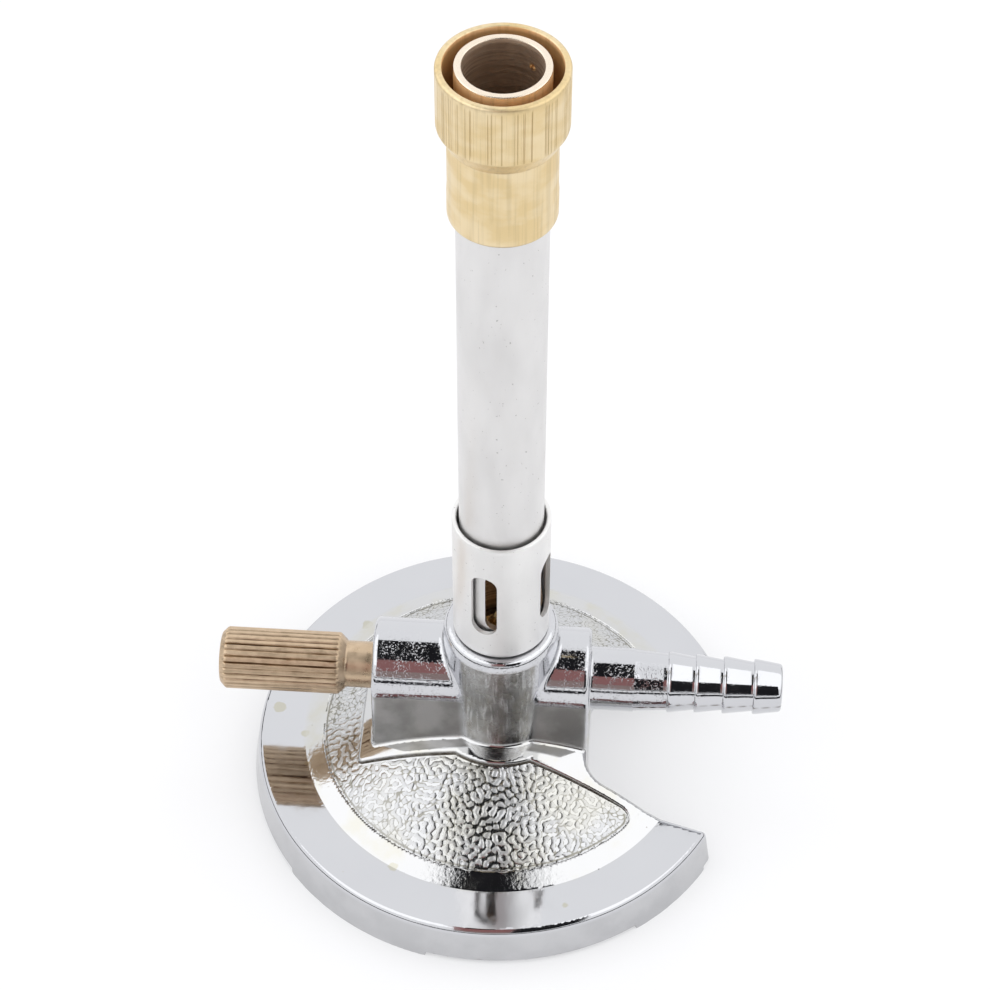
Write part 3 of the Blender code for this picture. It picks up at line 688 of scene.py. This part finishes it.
def collar_relief(turn, radius, place):
    """Fine upright lines of uneven depth on the collar's head."""
    random = np.random.default_rng(3)
    lines = np.zeros_like(turn)
    for _ in range(COLLAR_LINES):
        centre = random.uniform(0, tau)
        depth = random.uniform(0.01, 0.10) * random.uniform(0.3, 1)
        width = random.uniform(0.0035, 0.007)
        away = (turn - centre + pi) % tau - pi
        top = random.uniform(141.0, 144.5)
        lines += depth * np.exp(-((away / width) ** 2)) * (place > top - 3.5)
    lines *= fall(place, COLLAR_HIGH.z - 0.4, 0.3)
    return np.where((radius > 8.6) & (place > 140.6), -np.minimum(lines, COLLAR_LINE_DEPTH), 0)


def build_collar():
    """Neck, cone and lined head, with the pocket around the barrel's mouth."""
    outer, top, low = COLLAR_HIGH.x, COLLAR_HIGH.z, COLLAR_LOW.z
    neck, pocket, floor = COLLAR_NECK_RADIUS, POCKET_RADIUS, POCKET_FLOOR_Z
    profile = [
        (6.53, low), (neck - 0.25, low), (neck - 0.05, low + 0.12), (neck, low + 0.35),
        (neck, low + 4.1), (neck - 0.03, low + 4.6), (neck - 0.08, low + 5.2),
        (neck - 0.08, 137.9), (neck - 0.02, 138.15), (neck + 0.2, 138.4), (outer - 0.3, 140.15),
        (outer - 0.05, 140.5), (outer, 140.8), (outer, top - 0.35), (outer - 0.08, top - 0.12),
        (outer - 0.3, top), (8.12, top), (8.03, top - 0.05), (pocket, top - 0.2),
        (pocket, 141.7), (7.8, floor), (6.53, floor),
    ]
    return sharp_over(lathe("stabiliser_collar_body", refined(profile, 0.8), 1080, collar_relief), 50)


def knurl(turn, radius, place):
    """Straight knurl on the knob, run out towards its neck, and the screw thread."""
    wave = turn * KNURL_COUNT / tau + 0.05 * np.sin(turn * 7)
    wave = (wave + 0.01 * np.sin(place * 0.9 + turn * 5)) % 1.0
    uneven = 0.78 + 0.22 * np.sin(turn * 11 + 1) + 0.07 * np.sin(place * 1.1 + turn * 17)
    groove = np.clip(1 - abs(wave - 0.5) / 0.24, 0, 1) ** 0.9 * uneven
    fades = fall(place, -25.9, 0.6)
    cuts = -KNURL_DEPTH * groove * fades * ramp(radius, 4.2, 0.8)
    cuts = np.where((place < -25.6) & (radius > 4.0), cuts, 0)
    pitch = (place - turn / tau) % 1.0
    threaded = (place > -17.6) & (place < -11.9) & (radius > 3.4)
    return cuts + np.where(threaded, -0.45 * abs(pitch - 0.5) * 2, 0)


def build_spindle():
    """Knob, neck, screw and needle, turned from one bar."""
    start, end, radius = SPINDLE_LOW.x, SPINDLE_HIGH.x, KNOB_RADIUS
    profile = [
        (0.0, start), (3.9, start), (4.15, start + 0.05), (radius - 0.1, start + 0.8),
        (radius, start + 1.0), (radius, -26.45), (radius - 0.1, -26.2), (4.05, -25.25),
        (3.85, -25.1), (3.78, -24.9), (3.78, -18.1), (3.6, -17.8), (3.6, -11.8), (3.3, -11.6),
        (2.88, -11.6), (2.88, -6.0), (1.75, -6.0), (1.75, -4.5), (2.88, -4.5), (2.88, -1.9),
        (2.58, -1.6), (1.6, -1.6), (0.4, end), (0.0, end),
    ]
    profile = refined(profile, 0.33)
    return sharp_over(lathe("valve_spindle_and_knob", profile, 480, knurl, "X", VALVE_Z), 50)


def jet_relief(turn, radius, place):
    """Hexagonal flange with chamfered corners, and the screw thread below it."""
    flat = 4.0 / np.cos((turn % (pi / 3)) - pi / 6)
    bevel = 4.62 - fall(place, 31.05, 1) - ramp(place, 32.95, 1)
    flanged = (place > 30.75) & (place < 33.25) & (radius > 3.0)
    hexagon = np.where(flanged, np.minimum(flat, bevel) - radius, 0)
    pitch = (place / 0.7 - turn / tau) % 1.0
    threaded = (place > 27.5) & (place < 30.6) & (radius > 2.4)
    return hexagon + np.where(threaded, -0.3 * abs(pitch - 0.5) * 2, 0)


def build_jet():
    """Gas jet with a hexagonal flange."""
    profile = [
        (1.2, 27.3), (2.2, 27.3), (2.5, 27.6), (2.5, 30.8), (4.3, 30.8), (4.3, 33.2),
        (2.6, 33.2), (2.6, 34.7), (1.4, 37.5), (1.1, 38.0), (0.35, 38.0), (0.35, 36.2), (1.2, 35.5),
    ]
    return sharp_over(lathe("gas_jet_body", refined(profile, 0.2), 96, jet_relief), 35)


# ---- finishes


class Finish:
    """A Principled material built up from layers of noise in the part's own millimetres.

    The roughness given here stands only where no layer drives it.
    """

    def __init__(self, name, roughness, metallic=1.0):
        self.material = bpy.data.materials.new(name)
        self.material.use_nodes = True
        self.tree = self.material.node_tree
        self.shader = self.tree.nodes["Principled BSDF"]
        self.feed(self.shader, "Roughness", roughness)
        self.feed(self.shader, "Metallic", metallic)
        self.place = self.add("TexCoord").outputs["Object"]
        self.normal = None

    def add(self, kind, inputs=(), **settings):
        """New node with its inputs fed from pairs of socket and value."""
        node = self.tree.nodes.new("ShaderNode" + kind)
        for key, value in settings.items():
            setattr(node, key, value)
        for socket, value in inputs:
            self.feed(node, socket, value)
        return node

    def feed(self, node, socket, value):
        """Link an output to a socket, or set the socket. A tuple is a colour and a list a vector."""
        if isinstance(value, bpy.types.NodeSocket):
            self.tree.links.new(value, node.inputs[socket])
        elif isinstance(value, tuple):
            node.inputs[socket].default_value = (*value, 1.0)
        else:
            node.inputs[socket].default_value = value

    def noise(self, size, stretch=(1, 1, 1), detail=2.0, seed=0.0):
        """Noise with features of size millimetres, longer along stretched axes."""
        scale = [1 / (size * MM * s) for s in stretch]
        place = self.add("Mapping", (("Scale", scale), ("Vector", self.place))).outputs["Vector"]
        inputs = ("Scale", 1.0), ("Detail", detail), ("W", seed), ("Vector", place)
        return self.add("TexNoise", inputs, noise_dimensions="4D").outputs["Fac"]

    def attribute(self, name):
        return self.add("Attribute", attribute_name=name).outputs["Fac"]

    def remap(self, value, low, high, to_low=0.0, to_high=1.0):
        """A value between low and high carried smoothly to new limits, and held at them."""
        inputs = enumerate((value, low, high, to_low, to_high))
        return self.add("MapRange", inputs, interpolation_type="SMOOTHSTEP").outputs["Result"]

    def math(self, operation, a, b):
        return self.add("Math", ((0, a), (1, b)), operation=operation).outputs["Value"]

    def product(self, a, b):
        return self.math("MULTIPLY", a, b)

    def blend(self, share, a, b):
        """Colour a where share is 0 and b where it is 1. Each is a colour or an output."""
        return self.add("Mix", ((0, share), (6, a), (7, b)), data_type="RGBA").outputs[2]

    def spots(self, places):
        """1 inside small uneven rounds at given places, 0 elsewhere."""
        ragged = self.product(self.noise(0.9, detail=3.0, seed=5.0), 0.9 * MM)
        total = 0.0
        for x, y, z, radius in places:
            ends = (0, self.place), (1, [x * MM, y * MM, z * MM])
            node = self.add("VectorMath", ends, operation="DISTANCE")
            away = self.math("ADD", node.outputs["Value"], ragged)
            inside = self.remap(away, (radius + 0.25) * MM, (radius + 0.6) * MM, 1.0, 0.0)
            total = self.math("MAXIMUM", inside, total)
        return total

    def colour(self, value):
        self.feed(self.shader, "Base Color", value)

    def roughness(self, value):
        self.feed(self.shader, "Roughness", value)

    def satin(self, noise, low, high):
        """Roughness that follows a noise from low to high."""
        self.roughness(self.remap(noise, 0.3, 0.7, low, high))

    def bump(self, height, depth):
        """Relief of depth millimetres between heights 0 and 1, over the relief already there."""
        node = self.add("Bump", (("Strength", 1.0), ("Distance", depth * MM), ("Height", height)))
        if self.normal:
            self.feed(node, "Normal", self.normal)
        self.normal = node.outputs["Normal"]
        self.feed(self.shader, "Normal", self.normal)


def chrome_finish():
    """Bright plate on a casting.

    It reads these marks of the mesh: worn for the rubbed boss, dull for sides made rougher and a darker
    grey, grime for a dark mark that is painted shade on the front walls of the sunken panel and dirt along
    the barb's parting line, cast for the pebbled top of the block, scuff and warm for the sloping lip.
    """
    f = Finish("chrome_plate", 0.08)
    worn, dull, grime_and_painted_shade, cast = (f.attribute(name) for name in ("worn", "dull", "grime_and_painted_shade", "cast"))
    scuff, warm = f.attribute("scuff"), f.attribute("warm")

    tint = f.blend(f.noise(9, seed=4), (0.60, 0.605, 0.63), (0.635, 0.64, 0.66))
    tint = f.blend(f.product(f.spots(STAINS), 0.75), tint, (0.52, 0.50, 0.40))
    speck = f.remap(f.noise(0.8, detail=1, seed=2.3), 0.78, 0.82, 0.0, 0.6)
    tint = f.blend(speck, tint, (0.20, 0.18, 0.15))
    smudge = f.remap(f.noise(5, detail=5, seed=15), 0.42, 0.68, 0.25, 1.0)
    tint = f.blend(f.product(warm, smudge), tint, (0.60, 0.59, 0.54))
    cloud = f.remap(f.noise(7, detail=5, seed=3), 0.36, 0.62)
    # Sides of the block and boss, and a little of the rim's side, take a mottled darker grey
    tint = f.blend(dull, tint, f.blend(cloud, (0.335, 0.33, 0.32), (0.515, 0.51, 0.50)))
    streak = f.remap(f.noise(0.5, (1, 1, 9), 2, 13), 0.46, 0.68, 0.0, 0.9)
    tint = f.blend(f.product(worn, streak), tint, (0.74, 0.74, 0.74))
    dirt = f.remap(f.noise(1.3, (1, 1, 2.2), 5, 7), 0.40, 0.70, 0.0, 0.85)
    tint = f.blend(f.product(worn, dirt), tint, (0.345, 0.33, 0.295))
    patchiness = f.remap(f.noise(2.5, detail=3, seed=11), 0.3, 0.6, 0.6, 1.0)
    # Dark olive mark: painted shade on the front walls of the sunken panel, and dirt along the barb's
    # parting line
    f.colour(f.blend(f.product(grime_and_painted_shade, patchiness), tint, (0.13, 0.11, 0.085)))

    smear = f.remap(f.noise(2.5, detail=4, seed=1), 0.45, 0.75, 0.055, 0.13)
    rough = f.math("SUBTRACT", f.product(dull, 0.38), f.product(worn, 0.18))
    f.roughness(f.math("ADD", f.math("ADD", smear, rough), f.product(grime_and_painted_shade, 0.2)))

    f.bump(f.noise(8, detail=1, seed=5), 0.03)
    f.bump(f.noise(1.2, seed=6), 0.0025)
    pebble = f.remap(f.noise(0.30, detail=3, seed=8), 0.53, 0.72)
    patches = f.remap(f.noise(2.4, seed=9), 0.35, 0.65, 0.15, 1.0)
    f.bump(f.product(f.product(pebble, patches), cast), 0.022)
    f.bump(f.product(worn, f.noise(0.4, (1, 1, 3), 4, 3)), 0.07)
    f.bump(f.product(scuff, f.noise(0.7, detail=5, seed=21)), 0.035)
    return f.material


def grain_finish():
    """The same plate over grain, with dirt left in its grooves and painted shade along the panel's outer
    edge.
    """
    f = Finish("chrome_grain", 0.10)
    patches = f.remap(f.noise(7, seed=1.5), 0.35, 0.65, 0.65, 0.95)
    # Dirt in the grain's grooves, and the line of painted shade along the panel's outer edge
    grime_and_painted_shade = f.product(f.remap(f.attribute("groove"), 0.25, 0.95), patches)
    warm = f.remap(f.noise(9, seed=3), 0.45, 0.65, 0.0, 0.5)
    tint = f.blend(warm, (0.585, 0.59, 0.60), (0.585, 0.57, 0.50))
    f.colour(f.blend(grime_and_painted_shade, tint, (0.235, 0.225, 0.19)))
    f.roughness(f.remap(f.attribute("crown"), 0.2, 0.75, 0.12, 0.34))
    f.bump(f.noise(0.5, seed=6), 0.03)
    return f.material


def nickel_finish(name, tint, roughness, seed):
    """Satin plate with fine pits, small dents and faint drawing marks."""
    f = Finish(name, roughness)
    cloud = f.remap(f.noise(7, (1, 1, 2.2), 4, seed), 0.3, 0.7)
    light = tuple(min(1.0, c * 1.08) for c in tint)
    pit = f.remap(f.noise(0.42, (1, 1, 1.3), 1, seed + 2), 0.70, 0.77)
    dent = f.remap(f.noise(2.6, (1, 1, 1.2), 2, seed + 6), 0.76, 0.80)
    base = f.blend(cloud, tint, light)
    base = f.blend(f.product(pit, 0.55), base, (0.33, 0.32, 0.31))
    f.colour(f.blend(f.product(dent, 0.45), base, (0.30, 0.28, 0.26)))
    f.satin(f.noise(3, (1, 1, 3), 4, seed + 1), roughness - 0.05, roughness + 0.06)
    f.bump(f.noise(0.25, (1, 1, 14), 3, seed + 3), 0.0035)
    f.bump(pit, -0.03)
    f.bump(f.noise(0.14, seed=seed + 4), 0.004)
    return f.material


def bore_finish():
    """Bare brass inside of the barrel, browned by heat, with turning rings."""
    f = Finish("barrel_bore_brass", 0.5)
    ring = f.noise(0.7, (60, 60, 1), 3, 1)
    cloud = f.remap(f.noise(4, detail=4, seed=2), 0.35, 0.65)
    tint = f.blend(cloud, (0.76, 0.61, 0.48), (0.90, 0.76, 0.62))
    f.colour(f.blend(f.remap(ring, 0.45, 0.60, 0.0, 0.8), tint, (0.52, 0.39, 0.29)))
    f.satin(ring, 0.40, 0.58)
    f.bump(ring, 0.05)
    return f.material


def rim_finish():
    """Pinkish bare brass of the barrel's turned top edge."""
    f = Finish("barrel_rim_brass", 0.24)
    f.colour(f.blend(f.noise(1.5, detail=3, seed=1), (0.85, 0.73, 0.59), (0.93, 0.83, 0.70)))
    f.satin(f.noise(0.8, detail=3, seed=2), 0.18, 0.32)
    f.bump(f.noise(0.15, seed=3), 0.002)
    return f.material


def yellow_brass_finish(name, roughness, light, deep, metallic=1.0):
    """Bare turned brass: lengthwise lines on the head, cloudy brushing on the neck."""
    f = Finish(name, roughness, metallic)
    line = f.noise(0.20, (1, 1, 60), 2, 1)
    soft = f.noise(0.5, (1, 1, 40), 2, 8)
    cloud = f.noise(3, (1.5, 1.5, 0.8), 4, 3)
    tint = f.blend(f.remap(cloud, 0.35, 0.65), light, deep)
    tint = f.blend(f.remap(soft, 0.45, 0.68, 0.0, 0.30), tint, tuple(c * 0.65 for c in deep))
    lined = f.remap(f.attribute("lined"), 0.1, 1.0, 0.0, 0.6)
    f.colour(f.blend(lined, tint, (0.36, 0.25, 0.11)))
    f.satin(cloud, roughness - 0.06, roughness + 0.06)
    f.bump(line, 0.006)
    f.bump(f.noise(0.16, (3, 3, 1), 2, 5), 0.003)
    return f.material


def red_brass_finish():
    """Bare brass of the knob, its grooves darkened by dirt and painted shade, a little smoother on its
    neck.
    """
    f = Finish("red_brass", 0.34)
    cloud = f.noise(1.6, detail=5, seed=1)
    tint = f.blend(f.remap(cloud, 0.3, 0.7), (0.53, 0.40, 0.27), (0.65, 0.50, 0.35))
    patches = f.remap(f.noise(0.5, (7, 1, 1), 4, 7), 0.35, 0.6, 0.55, 1.0)
    # Grooves darker the deeper they lie: dirt and painted shade
    grime_and_painted_shade = f.product(f.attribute("groove"), patches)
    f.colour(f.blend(f.remap(grime_and_painted_shade, 0.12, 0.75, 0.0, 0.9), tint, (0.16, 0.095, 0.055)))
    knurled = f.attribute("knurled")
    polish = f.remap(knurled, 0.0, 1.0, 0.05, 0.0)
    f.roughness(f.math("SUBTRACT", f.remap(cloud, 0.3, 0.7, 0.30, 0.44), polish))
    f.bump(f.noise(0.2, (6, 1, 1), 2, 4), 0.006)
    f.bump(f.product(knurled, f.noise(0.4, detail=4, seed=6)), 0.016)
    return f.material


def small_brass_finish():
    """Jet brass with fine turning rings."""
    f = Finish("jet_brass", 0.26)
    f.colour(f.blend(f.noise(1.2, detail=3, seed=2), (0.74, 0.54, 0.24), (0.84, 0.64, 0.32)))
    f.satin(f.noise(0.8, seed=1), 0.18, 0.32)
    f.bump(f.noise(0.12, (30, 30, 1), 1, 3), 0.003)
    return f.material


def plain_finish(name, dark, light, roughness, metallic, size, depth):
    """Mottled finish for the small hidden pieces."""
    f = Finish(name, roughness, metallic)
    speck = f.noise(size, detail=4, seed=1)
    f.colour(f.blend(f.remap(speck, 0.35, 0.65), dark, light))
    f.satin(speck, roughness - 0.08, roughness + 0.08)
    f.bump(speck, depth)
    return f.material


# Small CAD nodes that stay: node, then name, dark, light, roughness, metallic, size and depth of finish
CARRIED_OVER = (
    ("sleeve_friction_ring", "spring_steel", (0.40, 0.40, 0.41), (0.56, 0.56, 0.57), 0.36, 1.0, 0.6, 0.003),
    ("jet_washer", "red_fibre", (0.22, 0.06, 0.035), (0.36, 0.12, 0.07), 0.80, 0.0, 0.3, 0.02),
    ("spindle_o_ring", "black_rubber", (0.012, 0.012, 0.013), (0.03, 0.03, 0.03), 0.62, 0.0, 0.4, 0.004),
)


def paint(piece, *materials):
    """Give a piece these materials and no others."""
    piece.data.materials.clear()
    for material in materials:
        piece.data.materials.append(material)


def store(piece, name, values):
    """Keep one number for each point of a piece's mesh."""
    layer = piece.data.attributes.new(name, "FLOAT", "POINT")
    layer.data.foreach_set("value", np.asarray(values, np.float32))


def points_of(piece):
    """Points of a piece's mesh, in millimetres."""
    flat = np.zeros(len(piece.data.vertices) * 3, np.float32)
    piece.data.vertices.foreach_get("co", flat)
    return flat.reshape(-1, 3) / MM


def zones(piece, choose):
    """Give each face the material number that choose returns for its centre and normal."""
    for face in piece.data.polygons:
        face.material_index = choose(face.center / MM, face.normal)


# ---- assembly


def dress(piece, body, slot, node, *materials):
    """A finished piece rides on its body and stands for its CAD node, if it has one."""
    paint(piece, *materials)
    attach(piece, body)
    if node:
        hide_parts(node)


def mark_casting(casting):
    """Store where the casting is worn, dull, pebbled, scuffed or warm, and the painted shade on its panel
    walls.
    """
    x, y, z = points_of(casting).T
    reach, depth = np.hypot(x, y), abs(y)
    around = np.hypot(x - DISC_X, y)
    above_band = z > 7

    wall = BLOCK_RADIUS / cos(BLOCK_SPLAY) + (BLOCK_AXIS_Z - z) * tan(BLOCK_SPLAY)
    out = ramp(depth - wall, 0.15, 0.3) * fall(reach, 10.8, 0.3)
    boss = out * fall(z, 34.9, 0.4) * ramp(z, 16.3, 0.6)
    flat = np.clip(1 - abs(depth - wall) / 0.3, 0, 1) * fall(z, 24.7, 0.3)
    flat *= (x > BLOCK_LEFT_X + 0.3) * (x < BLOCK_RIGHT_X - 0.3)
    rim = 0.3 * ramp(around, 39.5, 0.2) * fall(z, 6.7, 0.4)
    store(casting, "worn", boss)
    store(casting, "dull", np.maximum(np.maximum(boss, flat), rim))
    store(casting, "cast", ramp(z, 17.5, 1.5))

    slope = fall(around, BAND_INNER_RADIUS + 0.1, 0.2) * ramp(around, 28.2, 0.6)
    store(casting, "scuff", slope * above_band)
    lip = fall(around, BAND_INNER_RADIUS + 0.3, 0.5) * above_band
    store(casting, "warm", lip * fall(z, 17.5, 0.6))

    # Painted shade on the walls where the panel steps down from the land, strong at the front and faint
    # behind
    sunk = DOME_CENTRE + np.sqrt(np.maximum(DOME_RADIUS**2 - (x - DISC_X) ** 2 - y**2, 0)) - z
    side = np.clip(1.2 - abs(panel_plan(x, y)) / 0.35, 0, 1) * ramp(sunk, 0.1, 0.25)
    inland = around < PANEL_RADIUS - 0.8
    store(casting, "grime_and_painted_shade", side * inland * np.where(y < -4, 1.0, 0.08) * (z > 5))


def mark_barb(barb):
    """Store the dirt along the barb's parting line and where its cast skin is pebbled."""
    x, y, z = points_of(barb).T
    on_hub = x < BARB_STEPS_X[0]
    turn = np.arctan2(z - BARB_Z, y)
    seam = np.exp(-((np.sin(turn - np.where(on_hub, SEAM_RISE, 0.0)) / 0.04) ** 2))
    broken = np.clip(0.35 + 0.5 * np.sin(x * 3.1) + 0.3 * np.sin(x * 7.7), 0, 0.9)
    store(barb, "grime_and_painted_shade", seam * broken)
    store(barb, "cast", np.where(on_hub, 1.0, 0.25))


def mark_collar(collar):
    """Store how deep each point lies in the lines of the collar's head."""
    x, y, z = points_of(collar).T
    sunk = fall(np.hypot(x, y), COLLAR_HIGH.x, 0.055)
    store(collar, "lined", sunk * (z > 140.75) * (z < COLLAR_HIGH.z - 0.4))


def mark_spindle(spindle):
    """Store how deep each point lies in the knurl, and which end is knurled."""
    x, y, z = points_of(spindle).T
    sunk = fall(np.hypot(y, z - VALVE_Z), KNOB_RADIUS, 0.36)
    store(spindle, "groove", np.where((x > KNOB_START_X) & (x < KNOB_END_X), sunk, 0))
    store(spindle, "knurled", fall(x, -25.5, 0.3))


def build_burner():
    """Every piece, with its marks, finish and body."""
    chrome = chrome_finish()
    casting = build_casting()
    mark_casting(casting)
    dress(casting, "base", "chrome_plate", "base_casting", chrome)
    dress(build_grain(), "base", "chrome_plate", None, grain_finish())

    barb = build_barb()
    mark_barb(barb)
    dress(barb, "base", "chrome_plate", None, chrome)

    tube = build_tube()
    nickel = nickel_finish("satin_nickel", (0.735, 0.727, 0.72), 0.44, 1.0)
    yellow = yellow_brass_finish("yellow_brass", 0.40, (0.84, 0.69, 0.44), (0.80, 0.63, 0.35))
    # Lighter, less metallic copy of the brass for the collar's pocket and the barrel's end inside it:
    # painted light where the deep gap would render dark
    pocket = yellow_brass_finish("pocket_brass_painted_light", 0.62, (0.98, 0.72, 0.42), (0.90, 0.60, 0.30), 0.7)
    dress(tube, "base", "satin_nickel", "burner_tube", nickel, bore_finish(), rim_finish(), pocket)
    zones(tube, tube_zone)

    nickel = nickel_finish("satin_nickel_sleeve", (0.83, 0.825, 0.815), 0.48, 20.0)
    dress(build_sleeve(), "air_sleeve", "satin_nickel_sleeve", "air_sleeve", nickel)

    collar = build_collar()
    mark_collar(collar)
    dress(collar, "base", "yellow_brass", "stabiliser_collar", yellow, pocket)
    zones(collar, collar_zone)

    spindle = build_spindle()
    mark_spindle(spindle)
    dress(spindle, "valve_spindle", "red_brass", "valve_spindle", red_brass_finish())
    dress(build_jet(), "base", "jet_brass", "gas_jet", small_brass_finish())

    for node, *looks in CARRIED_OVER:
        paint(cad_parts[node], plain_finish(*looks))


def collar_zone(centre, normal):
    """0 for the collar's outside, 1 for the wall and floor of its pocket."""
    return int(centre.z > 141.0 and hypot(centre.x, centre.y) < POCKET_RADIUS + 0.02)


def tube_zone(centre, normal):
    """0 for the plate, 1 for the bore and slots, 2 for the top edge and ports, 3 for the bare end."""
    away = hypot(centre.x, centre.y)
    outward = normal.x * centre.x + normal.y * centre.y
    on_top = centre.z > TUBE_HIGH.z - 0.6 and away > 5.5
    in_port = abs(centre.z - PORT_Z) < 1.5 and abs(outward) < 3.0
    if on_top or in_port:
        return 2
    if centre.z > POCKET_FLOOR_Z - 0.1:
        return 3 if away > 6.0 else 1
    return 0 if away > 6.3 else 1


# ---- studio

CAMERA_AZIMUTH = 3.892
CAMERA_ELEVATION = 48.336
CAMERA_ROLL = 0.072
CAMERA_DISTANCE = 428.71
CAMERA_AIM = (-0.995, -0.068, 66.654)
CAMERA_LENS = 103.295

# Lights and cards, in metres
SOFT_BOX_WIDTH = 1.0
SOFT_BOX_LENGTH = 1.5
SOFT_BOX_RADIANCE = 0.48
FLOOR_REACH = 4.0
HORIZON_RADIUS = 0.46
HORIZON_LOW = 0.001
HORIZON_HIGH = 0.062


def build_camera():
    """Camera set by its angles, distance and aim."""
    azimuth, elevation = radians(CAMERA_AZIMUTH), radians(CAMERA_ELEVATION)
    level = cos(elevation)
    back = Vector((sin(azimuth) * level, -cos(azimuth) * level, sin(elevation)))
    across = Vector((cos(azimuth), sin(azimuth), 0))
    up = back.cross(across)
    roll = radians(CAMERA_ROLL)
    right = across * cos(roll) + up * sin(roll)
    up = up * cos(roll) - across * sin(roll)
    data = bpy.data.cameras.new("camera")
    data.lens = CAMERA_LENS
    data.sensor_width = 36.0
    data.clip_start = 0.01
    data.clip_end = 50.0
    camera = add_object("camera", data)
    place = Matrix((right, up, back)).transposed().to_4x4()
    place.translation = (Vector(CAMERA_AIM) + back * CAMERA_DISTANCE) * MM
    camera.matrix_world = place
    bpy.context.scene.camera = camera


def sheet_object(name, corners, material, seen=True):
    """Piece of the studio made of four-cornered faces, in metres."""
    mesh = bpy.data.meshes.new(name)
    mesh.from_pydata(corners, [], [range(k, k + 4) for k in range(0, len(corners), 4)])
    item = add_object(name, mesh)
    item.data.materials.append(material)
    item.visible_camera = seen
    item.visible_shadow = seen
    item.visible_diffuse = seen


def studio_material(name, colour, glow):
    """Matt surface that also gives off a little even light."""
    f = Finish(name, 0.9, 0.0)
    speck = f.noise(40, detail=3, seed=1)
    f.colour(f.blend(f.remap(speck, 0.3, 0.7), colour, tuple(c * 0.985 for c in colour)))
    f.feed(f.shader, "Specular IOR Level", 0.0)
    f.feed(f.shader, "Emission Color", colour)
    f.feed(f.shader, "Emission Strength", glow)
    return f.material


def soft_box(name, x):
    """Large overhead light to one side."""
    data = bpy.data.lights.new(name, "AREA")
    data.shape = "RECTANGLE"
    data.size = SOFT_BOX_WIDTH
    data.size_y = SOFT_BOX_LENGTH
    data.energy = SOFT_BOX_RADIANCE * pi * SOFT_BOX_WIDTH * SOFT_BOX_LENGTH
    lamp = add_object(name, data)
    lamp.location = (x, -0.15, 0.85)
    lamp.visible_camera = False


def strip(x0, x1, y0, z0, y1, z1):
    """Corners of a card that runs from one height and depth to another."""
    return [(x0, y0, z0), (x1, y0, z0), (x1, y1, z1), (x0, y1, z1)]


def build_studio():
    """Even light from all round, two soft boxes, a pale floor, and cards that only reflections show."""
    world = bpy.data.worlds.new("studio")
    world.use_nodes = True
    backdrop = world.node_tree.nodes["Background"]
    backdrop.inputs["Color"].default_value = (0.985, 0.99, 1.0, 1.0)
    backdrop.inputs["Strength"].default_value = 1.12
    bpy.context.scene.world = world
    bpy.context.scene.view_settings.view_transform = "Standard"
    floor = studio_material("floor_paper", (0.50, 0.50, 0.505), 0.80)
    sheet_object("floor", strip(-FLOOR_REACH, FLOOR_REACH, -FLOOR_REACH, 0.0, FLOOR_REACH, 0.0), floor)
    soft_box("soft_box_left", -0.72)
    soft_box("soft_box_right", 0.70)
    dark = studio_material("dark_card", (0.015, 0.015, 0.017), 0.0)
    ruddy = studio_material("ruddy_card", (0.24, 0.115, 0.11), 0.30)
    clay = studio_material("clay_card", (0.22, 0.165, 0.155), 0.38)
    left, right = -0.155, 0.11
    cards = (
        ("card_overhead", dark, left, right, 0.26, 0.80, -0.50, 0.80),
        ("card_ahead", ruddy, left, right, -0.50, 0.80, -0.66, 0.40),
        ("card_ahead_low", clay, left, right, -0.66, 0.40, -0.72, 0.20),
        ("card_beside", dark, right, 0.52, -0.50, 0.80, -0.72, 0.20),
        ("card_line", dark, -0.35, 0.40, -0.73, 0.185, -0.73, 0.155),
    )
    for name, material, *ends in cards:
        sheet_object(name, strip(*ends), material, seen=False)
    turns = [radians(122 + 296 * step / 48) for step in range(49)]
    ring = [(HORIZON_RADIUS * cos(turn), HORIZON_RADIUS * sin(turn)) for turn in turns]
    wall = []
    for a, b in zip(ring, ring[1:]):
        wall += [(*a, HORIZON_LOW), (*b, HORIZON_LOW), (*b, HORIZON_HIGH), (*a, HORIZON_HIGH)]
    sheet_object("card_horizon", wall, dark, seen=False)


build_burner()
build_studio()
build_camera()
